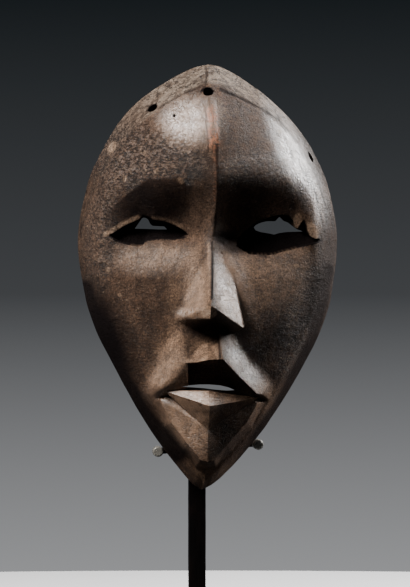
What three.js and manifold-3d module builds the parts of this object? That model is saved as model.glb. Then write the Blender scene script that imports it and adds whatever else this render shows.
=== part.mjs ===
// A carved wooden face mask of pointed oval outline, held upright by a slim metal stand on a low block.
// Millimetres, +Z up. The face looks along -Y, and the origin is the middle of the block's underside.
import * as THREE from 'three';
import { mergeVertices } from 'three/addons/utils/BufferGeometryUtils.js';
import Module from 'manifold-3d';

// The mask's overall size: chin to crown, cheek to cheek, and rim plane to nose tip.
const maskHeight = 236;
const maskWidth = 144;
const maskDepth = 75;

// The hollow behind the face.
const wallThickness = 9;
const rimWidth = 8;

// Cord holes drilled along the edge of the forehead, and one small borer's hole.
const crownHoleRadius = 2.9;
const sideHoleRadius = 3;
const borerHoleRadius = 0.9;

// The stand: a square bar, bent wires brazed to it, clear sleeves on the wires' tips, and a low block.
const barSide = 9.5;
const barEdge = 0.8;
const wireRadius = 1.8;
const sleeveWall = 0.8;
const sleeveLength = 12;
const sleeveEnd = 1.2;
const blockWidth = 110;
const blockDepth = 92;
const blockHeight = 24;
const blockEdge = 1.5;
const socketDepth = 16;
const chinAboveBlock = 66;
const fitGap = 0.3;
const rimPlane = 24;      // where the rim's flat back lies, towards +Y of the block's middle
const barBehindRim = 2;   // free space between the rim's back and the bar
const barShift = -5;      // the bar stands this far to the side of the mask's middle
const prongReach = 9;     // how far the prongs come forward past the rim's back

const halfWidth = maskWidth / 2;
const sleeveRadius = wireRadius + fitGap + sleeveWall;

// Heights above the chin's tip.
const hub = 0.445 * maskHeight;
const barTop = 0.145 * maskHeight;
const leftProngHeight = 0.098 * maskHeight;
const rightProngHeight = 0.114 * maskHeight;
const armTop = 0.86 * maskHeight;

const rimBulge = 0.16 * maskDepth;   // the outline is widest this far in front of the rim's back
const rimInset = 1.5;
const chinZ = blockHeight + chinAboveBlock;

const wasm = await Module();
wasm.setup();

// A smooth curve that never overshoots its points; each point is [place, value].
function curve(points) {
  const n = points.length;
  const step = points.slice(1).map((p, i) => (p[1] - points[i][1]) / (p[0] - points[i][0]));
  const tangent = points.map((p, i) => {
    if (i === 0 || i === n - 1) return step[Math.min(i, n - 2)];
    const [a, b] = [step[i - 1], step[i]];
    return a * b <= 0 ? 0 : (2 * a * b) / (a + b);
  });
  return (at) => {
    let i = 0;
    while (i < n - 2 && at > points[i + 1][0]) i++;
    const width = points[i + 1][0] - points[i][0];
    const t = THREE.MathUtils.clamp((at - points[i][0]) / width, 0, 1);
    const rise = points[i + 1][1] - points[i][1];
    const blend = t * t * (3 - 2 * t);
    return points[i][1] + rise * blend
      + width * t * (1 - t) * (tangent[i] * (1 - t) - tangent[i + 1] * t);
  };
}

function softMin(a, b, reach) {
  const h = Math.max(reach - Math.abs(a - b), 0) / reach;
  return Math.min(a, b) - (h * h * reach) / 4;
}

// The outline's half width, as a share of the mask's, at shares of its height.
const outline = curve([
  [0, 0], [0.012, 0.07], [0.047, 0.187], [0.155, 0.466], [0.305, 0.754], [0.38, 0.873], [0.455, 0.949],
  [0.587, 1], [0.718, 0.926], [0.794, 0.817], [0.869, 0.657], [0.925, 0.47], [0.962, 0.296],
  [0.985, 0.165],
  [0.996, 0.07], [1, 0],
]);
// The face's depth on its middle line before the brow, nose, mouth and chin are cut.
const crown = curve([
  [0, 0.58], [0.12, 0.65], [0.3, 0.72], [0.5, 0.76], [0.63, 0.86], [0.74, 0.93], [0.86, 0.92], [1, 0.82],
]);
// How steeply the sides rise from the rim.
const sideSlope = curve([[0, 3.1], [0.3, 3.3], [0.55, 3.6], [0.8, 2.9], [1, 2.2]]);
// How softly the sides turn into the face: a crisp crease round the forehead, round elsewhere.
const creaseSoftness = curve([[0, 4], [0.2, 5], [0.62, 12], [0.8, 4], [0.88, 1.2], [1, 1]]);
// The two halves of the forehead fall back from the middle ridge.
const foreheadFall = curve([[0.5, 0], [0.68, 0.1], [0.85, 0.14], [1, 0.1]]);
// The carver's hand: how far the middle line and the outline stray sideways, as shares of the half width.
const ridgeStray = curve([
  [0, -0.034], [0.065, -0.052], [0.19, -0.034], [0.33, -0.035], [0.44, -0.018], [0.585, 0.004],
  [0.7, 0.044], [0.81, 0.048], [0.87, 0.028], [0.932, -0.01], [1, 0],
]);
const outlineStray = curve([
  [0, -0.047], [0.03, -0.03], [0.065, -0.02], [0.21, 0], [0.32, 0.007], [0.6, 0], [0.8, 0], [0.91, -0.017],
  [1, 0.007],
]);

// The nose and mouth tilt: how far a point rises for each millimetre to the right.
const tilt = curve([[0, 0], [0.1, 0], [0.23, -0.085], [0.38, -0.14], [0.46, -0.06], [0.55, 0], [1, 0]]);

const rimPlaces = [];
for (let i = 0; i <= 720; i++) {
  const height = (1 - Math.cos((Math.PI * i) / 720)) / 2;
  rimPlaces.push([outline(height) * halfWidth, height * maskHeight - hub]);
}

// Distance from the hub to the outline in a direction, right half; the left half mirrors it.
function rimRadius(angle) {
  const folded = Math.atan2(Math.sin(angle), Math.abs(Math.cos(angle)));
  let [low, high] = [0, rimPlaces.length - 1];
  while (high - low > 1) {
    const middle = (low + high) >> 1;
    const [x, z] = rimPlaces[middle];
    if (Math.atan2(z, x) > folded) high = middle;
    else low = middle;
  }
  const [[x0, z0], [x1, z1]] = [rimPlaces[low], rimPlaces[high]];
  const [dx, dz] = [Math.cos(folded), Math.sin(folded)];
  return (x0 * (z1 - z0) - z0 * (x1 - x0)) / (dx * (z1 - z0) - dz * (x1 - x0));
}

// Where a point lies: its share of the way to the rim, and its square distance inside the rim.
function place(x, z) {
  const angle = Math.atan2(z - hub, x);
  const radius = rimRadius(angle);
  const turn = (rimRadius(angle + 0.01) - rimRadius(angle - 0.01)) / 0.02 / radius;
  const reach = Math.hypot(x, z - hub);
  return { share: reach / radius, inside: (radius - reach) / Math.hypot(1, Math.min(Math.abs(turn), 1)) };
}

// Depth of the full face before its hollows are cut.
function dome(x, z, share) {
  const height = z / maskHeight;
  const round = 1 - 0.5 * Math.min(share, 1) ** 2.8;
  return crown(height) * maskDepth * round - foreheadFall(height) * Math.abs(x);
}

// The eye hollows: a curved cut under the brow meets a bulging cheek along the eye line, and their floor
// rises to a ridge at the root of the nose.
const eyeLine = 0.589 * maskHeight;
const eyeDepth = 0.55 * maskDepth;
const noseRoot = curve([[0, 0.165], [0.1, 0.09], [0.22, 0.02], [0.34, 0], [1, 0]]);
const browLine = curve([[0, 0.775], [0.5, 0.775], [0.7, 0.745], [0.85, 0.68], [0.95, 0.63]]);
function hollowed(x, z, share) {
  const full = dome(x, z, share);
  const side = Math.abs(x) / halfWidth;
  const rise = z - eyeLine;
  const filled = rise >= 0
    ? THREE.MathUtils.smoothstep(z, eyeLine, browLine(side) * maskHeight)
    : 1 - Math.exp(rise / (0.05 * maskHeight));
  const kept = Math.max(filled, THREE.MathUtils.smoothstep(side, 0.66, 0.9));
  const floor = eyeDepth + noseRoot(side) * maskDepth;
  return full - Math.max(full - floor, 0) * (1 - kept);
}

// Depth of the plain face: the hollowed dome, and sides that drop to the rim.
function faceDepth(x, z) {
  const { share, inside } = place(x, z);
  const height = z / maskHeight;
  const side = rimBulge + Math.max(inside, 0) * sideSlope(height);
  return softMin(hollowed(x, z, share), side, creaseSoftness(height));
}

// A point of the carving: percent of the half width, of the height and of the depth.
const at = (x, z, d) => [(x / 100) * halfWidth, (z / 100) * maskHeight, (d / 100) * maskDepth];
// The same, sunk a little under the plain face.
function under(x, z, sink = 1) {
  const [px, pz] = at(x, z, 0);
  return [px, pz, faceDepth(px, pz) - sink];
}

// Each relief is a net of named points and triangles; the left half is mirrored from the right.
function relief(points, faces) {
  const names = Object.keys(points);
  const both = {};
  for (const name of names) {
    const [x, z, d] = points[name];
    both[name] = [x, z, d];
    both[`${name}'`] = [-x, z, d];
  }
  const all = [];
  for (const face of faces) {
    all.push(face.map((name) => both[name]));
    all.push(face.map((name) => both[points[name]?.[0] === 0 ? name : `${name}'`]));
  }
  return all;
}

// A net whose two sides differ: only the triangles that are named.
const unlike = (points, faces) => faces.map((face) => face.map((name) => points[name]));

const nosePlane = (x, z) => at(x, z, 71.5 + 1.875 * (58.6 - z) - 0.893 * x);
const noseNet = unlike({
  bridge: at(0, 58.6, 71.5), tip: at(0, 43.4, 100), base: at(0, 40.4, 95), underTip: at(0, 35.4, 66),
  shoulder: nosePlane(12.5, 56), edge: nosePlane(19, 48), wing: nosePlane(25.4, 39.2),
  wingFoot: under(27.2, 39.3), underWing: at(15, 36.6, 66), leftWing: at(-24.5, 39.2, 73.5),
  underLeft: at(-15, 36.6, 66),
}, [
  ['bridge', 'tip', 'wing'], ['bridge', 'wing', 'edge'], ['bridge', 'edge', 'shoulder'],
  ['edge', 'wing', 'wingFoot'], ['tip', 'base', 'wing'], ['base', 'underTip', 'underWing'],
  ['base', 'underWing', 'wing'], ['underWing', 'wingFoot', 'wing'], ['bridge', 'leftWing', 'tip'],
  ['tip', 'leftWing', 'base'], ['base', 'underLeft', 'underTip'], ['base', 'leftWing', 'underLeft'],
]);

// The muzzle: a soft roll down to the left, one flat plane down to the right, a step beside the middle.
const lipPlane = (x, z) => at(x, z, 86 - 0.98 * (x - 10.6) - 0.85 * (z - 31.4));
const muzzleNet = unlike({
  top: at(0, 35.3, 70), stepTop: at(7.4, 35.8, 71), lip: at(0, 30.9, 87), stepLip: at(7.8, 31.2, 84),
  planeTop: lipPlane(8.2, 37.2), planeSide: lipPlane(25, 38.6), planeLip: lipPlane(10.6, 31.4),
  planeOut: lipPlane(36, 31.9), cornerIn: lipPlane(36.2, 23.3), cornerOut: lipPlane(40.4, 23.1),
  cornerSide: under(50, 26), rollTop: at(-20.7, 37.8, 73), rollSide: under(-28, 38.7),
  roll: at(-25, 32.2, 76.5), rollOut: under(-39, 32.2), rollLow: at(-38.5, 23.8, 67),
  rollLowOut: under(-48, 24.5), rollEnd: under(-47, 21, 0.5), lipIn: at(-9.2, 30, 85),
  lipTurn: at(-18.3, 29.6, 81), lipSide: at(-28.5, 25.5, 73), lipCorner: at(-34.9, 23, 66),
  low: at(0, 24, 72), lowRight: at(12, 24, 72), lowLeft: at(-16, 24, 70), footRight: under(50, 20.5),
  footLeft: under(-46, 20),
}, [
  ['top', 'rollTop', 'lipTurn'], ['top', 'lipTurn', 'lipIn'], ['top', 'lipIn', 'lip'],
  ['top', 'lip', 'stepLip'], ['top', 'stepLip', 'stepTop'], ['stepTop', 'stepLip', 'planeTop'],
  ['planeTop', 'stepLip', 'planeLip'], ['planeTop', 'planeLip', 'planeSide'],
  ['planeSide', 'planeLip', 'planeOut'], ['planeLip', 'cornerIn', 'planeOut'],
  ['planeOut', 'cornerIn', 'cornerOut'], ['planeOut', 'cornerOut', 'cornerSide'],
  ['rollTop', 'roll', 'lipTurn'], ['roll', 'lipSide', 'lipTurn'], ['roll', 'rollLow', 'lipSide'],
  ['rollLow', 'lipCorner', 'lipSide'], ['rollTop', 'rollSide', 'rollOut'], ['rollTop', 'rollOut', 'roll'],
  ['roll', 'rollOut', 'rollLowOut'], ['roll', 'rollLowOut', 'rollLow'],
  ['rollLow', 'rollLowOut', 'rollEnd'], ['rollLow', 'rollEnd', 'lipCorner'], ['lip', 'low', 'stepLip'],
  ['stepLip', 'low', 'lowRight'], ['stepLip', 'lowRight', 'planeLip'],
  ['planeLip', 'lowRight', 'cornerIn'], ['lowRight', 'footRight', 'cornerIn'],
  ['cornerIn', 'footRight', 'cornerOut'], ['footRight', 'cornerSide', 'cornerOut'],
  ['lip', 'lipIn', 'low'], ['lipIn', 'lowLeft', 'low'], ['lipIn', 'lipTurn', 'lowLeft'],
  ['lipTurn', 'lipSide', 'lowLeft'], ['lipSide', 'lipCorner', 'lowLeft'],
  ['lipCorner', 'footLeft', 'lowLeft'], ['lipCorner', 'rollEnd', 'footLeft'],
]);

// What is cut out under the upper lip, down to the back of the mouth; a shelf stays at its left end.
const mouthNet = unlike({
  lip: at(0, 30.9, 74), stepLip: at(7.8, 31.2, 74), planeLip: at(10.6, 31.4, 74),
  cornerIn: at(36.2, 23.3, 62), lipIn: at(-9.2, 30, 78), lipTurn: at(-18.3, 29.6, 80.5),
  lipSide: at(-28.5, 25.5, 72.5), lipCorner: at(-34.9, 23, 65.5), shelfTop: at(-15.8, 29.3, 80),
  shelfFoot: at(-16, 24, 74.5), backTop: at(-14.4, 29.1, 68), backLeft: at(-14.8, 24.2, 60),
  backMiddle: at(0, 24.6, 61), backRight: at(17, 24.6, 60), lowRight: at(16, 20.5, 59),
  lowLeft: at(-16, 20.5, 59), low: at(0, 16.5, 57),
}, [
  ['lipTurn', 'lipIn', 'shelfTop'], ['shelfTop', 'lipIn', 'backTop'], ['backTop', 'lipIn', 'lip'],
  ['backTop', 'lip', 'backMiddle'], ['backTop', 'backMiddle', 'backLeft'],
  ['lip', 'stepLip', 'backMiddle'], ['stepLip', 'planeLip', 'backRight'],
  ['stepLip', 'backRight', 'backMiddle'], ['planeLip', 'cornerIn', 'backRight'],
  ['backRight', 'cornerIn', 'lowRight'], ['backRight', 'lowRight', 'backMiddle'],
  ['backMiddle', 'lowRight', 'low'], ['lipTurn', 'shelfTop', 'shelfFoot'],
  ['lipTurn', 'shelfFoot', 'lipSide'], ['lipSide', 'shelfFoot', 'lipCorner'],
  ['lipCorner', 'shelfFoot', 'lowLeft'], ['shelfTop', 'backTop', 'backLeft'],
  ['shelfTop', 'backLeft', 'shelfFoot'], ['shelfFoot', 'backLeft', 'lowLeft'],
  ['backLeft', 'low', 'lowLeft'], ['backLeft', 'backMiddle', 'low'],
]);

const lowerLipNet = unlike({
  left: at(-33.8, 23.1, 63.5), right: at(38, 22.4, 60), inner: at(0, 24, 60), front: at(0, 23.6, 80),
  edge: at(0, 20.2, 87.5), low: at(0, 14.7, 70.5),
}, [
  ['inner', 'front', 'left'], ['front', 'edge', 'left'], ['edge', 'low', 'left'],
  ['inner', 'front', 'right'], ['front', 'edge', 'right'], ['edge', 'low', 'right'],
]);

const chinNet = relief({
  keelTop: at(0, 14.9, 70), keelFoot: at(0, 7, 65.5), foot: at(5, 7.4, 64), cheek: at(15, 11, 62.3),
  jaw: at(29, 16.2, 60.2), side: at(37.5, 21.3, 60), inner: under(20, 22.6), innerKeel: under(0, 18.5),
  skirtKeel: under(0, 5.2), skirtFoot: under(8, 5.4), skirtCheek: under(20, 9), skirtJaw: under(35, 14.4),
  skirtSide: under(44, 21),
}, [
  ['keelTop', 'jaw', 'side'], ['keelTop', 'side', 'inner'], ['keelTop', 'inner', 'innerKeel'],
  ['keelTop', 'cheek', 'jaw'], ['keelTop', 'foot', 'cheek'], ['keelTop', 'keelFoot', 'foot'],
  ['side', 'jaw', 'skirtJaw'], ['side', 'skirtJaw', 'skirtSide'], ['side', 'skirtSide', 'inner'],
  ['jaw', 'cheek', 'skirtCheek'], ['jaw', 'skirtCheek', 'skirtJaw'], ['cheek', 'foot', 'skirtFoot'],
  ['cheek', 'skirtFoot', 'skirtCheek'], ['foot', 'keelFoot', 'skirtKeel'],
  ['foot', 'skirtKeel', 'skirtFoot'],
]);

// Closed meshes. Depth d is measured forward, so a point [x, z, d] stands at (x, -d, z).
function solid(vertices, faces) {
  const geometry = new THREE.BufferGeometry();
  const positions = vertices.flatMap(([x, z, d]) => [x, -d, z]);
  geometry.setAttribute('position', new THREE.Float32BufferAttribute(positions, 3));
  geometry.setIndex(faces.flat());
  return toSolid(geometry);
}

function toSolid(geometry) {
  const bare = geometry.clone();
  bare.deleteAttribute('normal');
  bare.deleteAttribute('uv');
  const merged = mergeVertices(bare, 1e-4);
  return new wasm.Manifold(new wasm.Mesh({
    numProp: 3,
    vertProperties: new Float32Array(merged.attributes.position.array),
    triVerts: new Uint32Array(merged.index.array),
  }));
}

function toGeometry(made, move = (p) => p) {
  const mesh = made.getMesh();
  const geometry = new THREE.BufferGeometry();
  const positions = new Float32Array(mesh.numVert * 3);
  for (let i = 0; i < mesh.numVert; i++) {
    const [x, y, z] = mesh.vertProperties.subarray(i * mesh.numProp, i * mesh.numProp + 3);
    positions.set(move([x, y, z]), i * 3);
  }
  geometry.setAttribute('position', new THREE.BufferAttribute(positions, 3));
  geometry.setIndex(new THREE.BufferAttribute(new Uint32Array(mesh.triVerts), 1));
  const flat = geometry.toNonIndexed();
  flat.computeVertexNormals();
  return flat;
}

// A net of triangles, walled straight back (or forward) to one depth.
function netSolid(net, backDepth) {
  const vertices = [];
  const keys = new Map();
  const index = (p) => {
    const key = p.map((v) => v.toFixed(4)).join();
    if (!keys.has(key)) keys.set(key, vertices.push(p) - 1);
    return keys.get(key);
  };
  const front = net.map((face) => {
    const [a, b, c] = face;
    const area = (b[0] - a[0]) * (c[1] - a[1]) - (b[1] - a[1]) * (c[0] - a[0]);
    return (area > 0 ? [a, b, c] : [a, c, b]).map(index);
  });
  const count = vertices.length;
  for (const [x, z] of vertices.slice()) vertices.push([x, z, backDepth]);
  const edges = new Set(front.flatMap(([a, b, c]) => [`${a},${b}`, `${b},${c}`, `${c},${a}`]));
  const faces = [...front, ...front.map(([a, b, c]) => [a + count, c + count, b + count])];
  for (const edge of edges) {
    const [a, b] = edge.split(',').map(Number);
    if (!edges.has(`${b},${a}`)) faces.push([a, a + count, b + count], [a, b + count, b]);
  }
  const forward = backDepth > Math.max(...net.flat().map((p) => p[2]));
  return solid(vertices, forward ? faces.map(([a, b, c]) => [a, c, b]) : faces);
}

// Square grid laid over a pointed oval: near square in the middle, and following the outline at its edge.
function ovalGrid(columns, rows, inset, depthAt) {
  const vertices = [];
  const spread = (t) => t * (0.78 + 0.22 * t * t);
  for (let j = 0; j <= rows; j++) {
    for (let i = 0; i <= columns; i++) {
      const [a, b] = [spread((2 * i) / columns - 1), spread((2 * j) / rows - 1)];
      const [p, q] = [a * Math.sqrt(1 - (b * b) / 2), b * Math.sqrt(1 - (a * a) / 2)];
      const angle = Math.atan2(q, p);
      const reach = Math.hypot(p, q) * (rimRadius(angle) - inset);
      const [x, z] = [reach * Math.cos(angle), hub + reach * Math.sin(angle)];
      vertices.push([Math.abs(x) < 1e-6 ? 0 : x, z, depthAt(x, z)]);
    }
  }
  const number = (i, j) => j * (columns + 1) + i;
  const faces = [];
  for (let j = 0; j < rows; j++) {
    for (let i = 0; i < columns; i++) {
      const [a, b, c, d] = [number(i, j), number(i + 1, j), number(i + 1, j + 1), number(i, j + 1)];
      const mirrored = (i < columns / 2) === (j < rows / 2);
      faces.push(...(mirrored ? [[a, b, c], [a, c, d]] : [[a, b, d], [b, c, d]]));
    }
  }
  const edge = [];
  for (let i = 0; i < columns; i++) edge.push(number(i, 0));
  for (let j = 0; j < rows; j++) edge.push(number(columns, j));
  for (let i = columns; i > 0; i--) edge.push(number(i, rows));
  for (let j = rows; j > 0; j--) edge.push(number(0, j));
  return { vertices, faces, edge };
}

// Closes a grid behind its edge with rings of [depth, inset] and a flat back.
function closeBehind({ vertices, faces, edge }, rings) {
  let last = edge;
  for (const [depth, inset] of rings) {
    const ring = edge.map((k) => {
      const [x, z] = vertices[k];
      const shrink = 1 - inset / Math.hypot(x, z - hub);
      return vertices.push([x * shrink, hub + (z - hub) * shrink, depth]) - 1;
    });
    ring.forEach((k, n) => {
      const m = (n + 1) % ring.length;
      faces.push([last[n], k, ring[m]], [last[n], ring[m], last[m]]);
    });
    last = ring;
  }
  const middle = vertices.push([0, hub, rings.at(-1)[0]]) - 1;
  last.forEach((k, n) => faces.push([k, middle, last[(n + 1) % last.length]]));
  return solid(vertices, faces);
}

const outerFace = () => closeBehind(ovalGrid(40, 56, 0, faceDepth), [
  [rimBulge * 0.45, rimInset * 0.3], [0, rimInset],
]);

// The hollow follows the face at the wall's thickness and is open at the back.
function hollowDepth(x, z) {
  const { share, inside } = place(x, z);
  const body = hollowed(x, z, share) - wallThickness;
  return softMin(body, Math.max(inside - rimWidth, 0) * 0.85 * sideSlope(z / maskHeight), 6);
}
const cavity = () => {
  const grid = ovalGrid(22, 32, rimWidth, (x, z) => Math.max(hollowDepth(x, z), 0.05));
  return closeBehind(grid, [[-5, 0]]);
};

// A pointed lens: corners on the given height, an upper arch and a lower sag.
function lens(middle, half, corner, top, bottom, depth, points = 20) {
  const loop = [];
  for (let i = 0; i < points; i++) {
    const angle = (2 * Math.PI * i) / points;
    const bow = Math.abs(Math.sin(angle)) ** 1.25 * (Math.sin(angle) >= 0 ? top - corner : bottom - corner);
    loop.push([middle + half * Math.cos(angle), corner + bow, depth]);
  }
  return loop;
}

// A closed solid through loops of equal count, from the front loop to the back one.
function loft(loops) {
  const count = loops[0].length;
  const vertices = loops.flat();
  const faces = [];
  for (let k = 0; k < loops.length - 1; k++) {
    for (let n = 0; n < count; n++) {
      const m = (n + 1) % count;
      const [a, b] = [k * count + n, k * count + m];
      faces.push([a, a + count, b + count], [a, b + count, b]);
    }
  }
  const end = (loops.length - 1) * count;
  for (let n = 1; n < count - 1; n++) faces.push([0, n, n + 1], [end, end + n + 1, end + n]);
  return solid(vertices, faces);
}

// Each eye opens wide at the face and narrows upward to a slit at the back.
function eyeCut({ middle, half, corner, top, bottom, slitTop, slitBottom }) {
  const [x, w] = [(middle / 100) * halfWidth, (half / 100) * halfWidth];
  const z = [corner, top, bottom, slitTop, slitBottom].map((share) => (share / 100) * maskHeight);
  const slitCorner = (z[3] + z[4]) / 2;
  return loft([
    lens(x, w, z[0], z[1], z[2], maskDepth),
    lens(x, w, z[0], z[1], z[2], eyeDepth + 0.4 * wallThickness),
    lens(x, w * 0.9, slitCorner, z[3], z[4], eyeDepth - wallThickness),
    lens(x, w * 0.9, slitCorner, z[3], z[4], -1),
  ]);
}
const leftEye = {
  middle: -50, half: 32, corner: 59.2, top: 64.3, bottom: 56.9, slitTop: 63.6, slitBottom: 61,
};
const rightEye = {
  middle: 52, half: 31, corner: 58.7, top: 63.4, bottom: 56.4, slitTop: 62.9, slitBottom: 60.2,
};

function mouthSlit() {
  const [half, height] = [0.215 * halfWidth, 0.2435 * maskHeight];
  return loft([
    lens(0, half, height, height + 1.5, height - 1.5, maskDepth),
    lens(0, half, height, height + 1.5, height - 1.5, -1),
  ]);
}

// A drilled hole: where it meets the face, its radius, and how far its line leans sideways and upward.
function drilled([x, z, d], radius, sideways, upward) {
  const reach = 4 * wallThickness;
  const along = new THREE.Vector3(Math.tan(sideways), -1, Math.tan(upward)).normalize();
  const cylinder = new THREE.CylinderGeometry(radius, radius, reach, 12);
  cylinder.applyQuaternion(new THREE.Quaternion().setFromUnitVectors(new THREE.Vector3(0, 1, 0), along));
  cylinder.translate(x, -d, z);
  return toSolid(cylinder);
}

// Ideal places become the carver's: the middle line wanders, the outline leans, the nose and mouth tilt.
function stray([x, y, z]) {
  const height = z / maskHeight;
  const share = Math.min(place(x, z).share, 1) ** 2;
  const aside = halfWidth * (ridgeStray(height) * (1 - share) + outlineStray(height) * share);
  return [x + aside, y, z + x * tilt(height) * (1 - share)];
}

function makeMask() {
  const inside = 0.15 * maskDepth;
  let made = outerFace();
  for (const net of [noseNet, muzzleNet, chinNet]) made = made.add(netSolid(net, inside));
  made = made.subtract(netSolid(mouthNet, 1.3 * maskDepth)).add(netSolid(lowerLipNet, inside));
  for (const cut of [cavity(), eyeCut(leftEye), eyeCut(rightEye), mouthSlit()]) made = made.subtract(cut);
  const holes = [
    [under(-1.2, 93.3, 0), crownHoleRadius, 0, 0.5],
    [under(-43.6, 89.4, 0), sideHoleRadius, -0.25, 0.35],
    [under(78, 78.2, 0), sideHoleRadius, 0.8, 0.2],
    [under(-28, 87.4, 0), borerHoleRadius, -0.2, 0.3],
  ];
  for (const hole of holes) made = made.subtract(drilled(...hole));
  return toGeometry(made, stray);
}

// A round wire bent along points, given in the mask's own frame as [x, z, d].
function wire(points) {
  const places = points.map(([x, z, d]) => new THREE.Vector3(x, -d, z));
  const path = new THREE.CatmullRomCurve3(places, false, 'centripetal');
  const round = new THREE.Shape().absarc(0, 0, wireRadius, 0, 2 * Math.PI);
  const steps = 5 * (points.length - 1);
  return toSolid(new THREE.ExtrudeGeometry(round, { steps, extrudePath: path, curveSegments: 4 }));
}

// A prong's axis lies beside the jaw, a sleeve's radius and a gap away from it.
function prongSeat(height, side) {
  const share = height / maskHeight;
  const slope = (outline(share + 0.01) - outline(share - 0.01)) * halfWidth / (0.02 * maskHeight);
  const away = (sleeveRadius + fitGap + 0.2) / Math.hypot(1, slope);
  const [x] = stray([side * outline(share) * halfWidth, 0, height]);
  return [x + side * away, height - away * slope];
}

const behindRim = -(barBehindRim + barSide / 2);
const sleeveBack = prongReach - sleeveLength;
const [leftX, leftZ] = prongSeat(leftProngHeight, -1);
const [rightX, rightZ] = prongSeat(rightProngHeight, 1);
const armReach = Math.min(...[-1, 1].map((n) => hollowDepth(0, armTop + n * sleeveRadius))) - fitGap - 0.7;

function makeBar() {
  const half = barSide / 2;
  const section = new THREE.Shape();
  const corners = [[-half, -half], [half, -half], [half, half], [-half, half]];
  corners.forEach(([x, y], i) => {
    const [sx, sy] = [Math.sign(x), Math.sign(y)];
    const first = i % 2 === 0 ? [x, y - sy * barEdge] : [x - sx * barEdge, y];
    const second = i % 2 === 0 ? [x - sx * barEdge, y] : [x, y - sy * barEdge];
    if (i === 0) section.moveTo(...first);
    else section.lineTo(...first);
    section.lineTo(...second);
  });
  const length = socketDepth + chinAboveBlock + barTop;
  const bar = new THREE.ExtrudeGeometry(section, { depth: length, bevelEnabled: false });
  bar.translate(barShift, -behindRim, barTop - length);
  const bend = 1.5 * wireRadius;
  const straight = sleeveBack - 0.5 * wireRadius;
  const cradle = wire([
    [leftX, leftZ, prongReach - sleeveEnd - fitGap], [leftX, leftZ, sleeveBack], [leftX, leftZ, straight],
    [leftX + bend, leftZ, behindRim], [barShift, (leftZ + rightZ) / 2, behindRim],
    [rightX - bend, rightZ, behindRim],
    [rightX, rightZ, straight], [rightX, rightZ, sleeveBack],
    [rightX, rightZ, prongReach - sleeveEnd - fitGap],
  ]);
  const aside = -0.33 * halfWidth;
  const armBack = armReach - sleeveLength;
  const arm = wire([
    [barShift, barTop - barSide / 3, behindRim], [0.7 * aside, 0.19 * maskHeight, behindRim],
    [aside, 0.26 * maskHeight, behindRim], [aside, 0.45 * maskHeight, behindRim],
    [0, 0.62 * maskHeight, behindRim],
    [0, armTop - 5 * wireRadius, behindRim], [0, armTop - 0.6 * wireRadius, behindRim + 4 * wireRadius],
    [0, armTop, armBack - 2 * wireRadius], [0, armTop, armBack],
    [0, armTop, armReach - sleeveEnd - fitGap],
  ]);
  return toGeometry(toSolid(bar).add(cradle).add(arm));
}

// A clear cap over a wire's tip, its closed end forward.
function makeSleeve(tip) {
  const bore = wireRadius + fitGap;
  const profile = [
    [0, 0], [sleeveRadius * 0.8, 0], [sleeveRadius, 0.6], [sleeveRadius, sleeveLength],
    [bore, sleeveLength],
    [bore, sleeveEnd], [0, sleeveEnd],
  ].map(([r, h]) => new THREE.Vector2(r, h));
  const sleeve = new THREE.LatheGeometry(profile, 12);
  const [x, z, d] = tip;
  sleeve.translate(x, -d, z);
  return toGeometry(toSolid(sleeve));
}

function makeBlock() {
  const [w, d] = [blockWidth / 2 - blockEdge, blockDepth / 2 - blockEdge];
  const corners = [[-w, -d], [w, -d], [w, d], [-w, d]];
  const plan = new THREE.Shape(corners.map(([x, y]) => new THREE.Vector2(x, y)));
  const body = new THREE.ExtrudeGeometry(plan, {
    depth: blockHeight - 2 * blockEdge, bevelThickness: blockEdge, bevelSize: blockEdge, bevelSegments: 2,
  });
  body.translate(0, 0, blockEdge);
  const socketHeight = socketDepth + fitGap + 1;
  const socket = new THREE.BoxGeometry(barSide + 2 * fitGap, barSide + 2 * fitGap, socketHeight);
  socket.translate(barShift, rimPlane - behindRim, blockHeight + 1 - socketHeight / 2);
  return toGeometry(toSolid(body).subtract(toSolid(socket)));
}

const finishes = {
  wood: new THREE.MeshStandardMaterial({ color: 0x3a2a20, roughness: 0.45, metalness: 0 }),
  metal: new THREE.MeshStandardMaterial({ color: 0x1a1413, roughness: 0.4, metalness: 0.8 }),
  clear: new THREE.MeshStandardMaterial({
    color: 0xb9bab2, roughness: 0.3, metalness: 0, transparent: true, opacity: 0.6,
  }),
  block: new THREE.MeshStandardMaterial({ color: 0x161413, roughness: 0.4, metalness: 0 }),
};

function piece(name, geometry, finish) {
  const mesh = new THREE.Mesh(geometry, finishes[finish]);
  mesh.name = name;
  return mesh;
}

const held = new THREE.Group();
held.position.set(0, rimPlane, chinZ);
held.add(
  piece('mask', makeMask(), 'wood'),
  piece('bar_and_cradle', makeBar(), 'metal'),
  piece('sleeve_left', makeSleeve([leftX, leftZ, prongReach]), 'clear'),
  piece('sleeve_right', makeSleeve([rightX, rightZ, prongReach]), 'clear'),
  piece('sleeve_top', makeSleeve([0, armTop, armReach]), 'clear'),
);

const object = new THREE.Group();
object.add(held, piece('block', makeBlock(), 'block'));

export default object;
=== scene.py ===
import math

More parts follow.
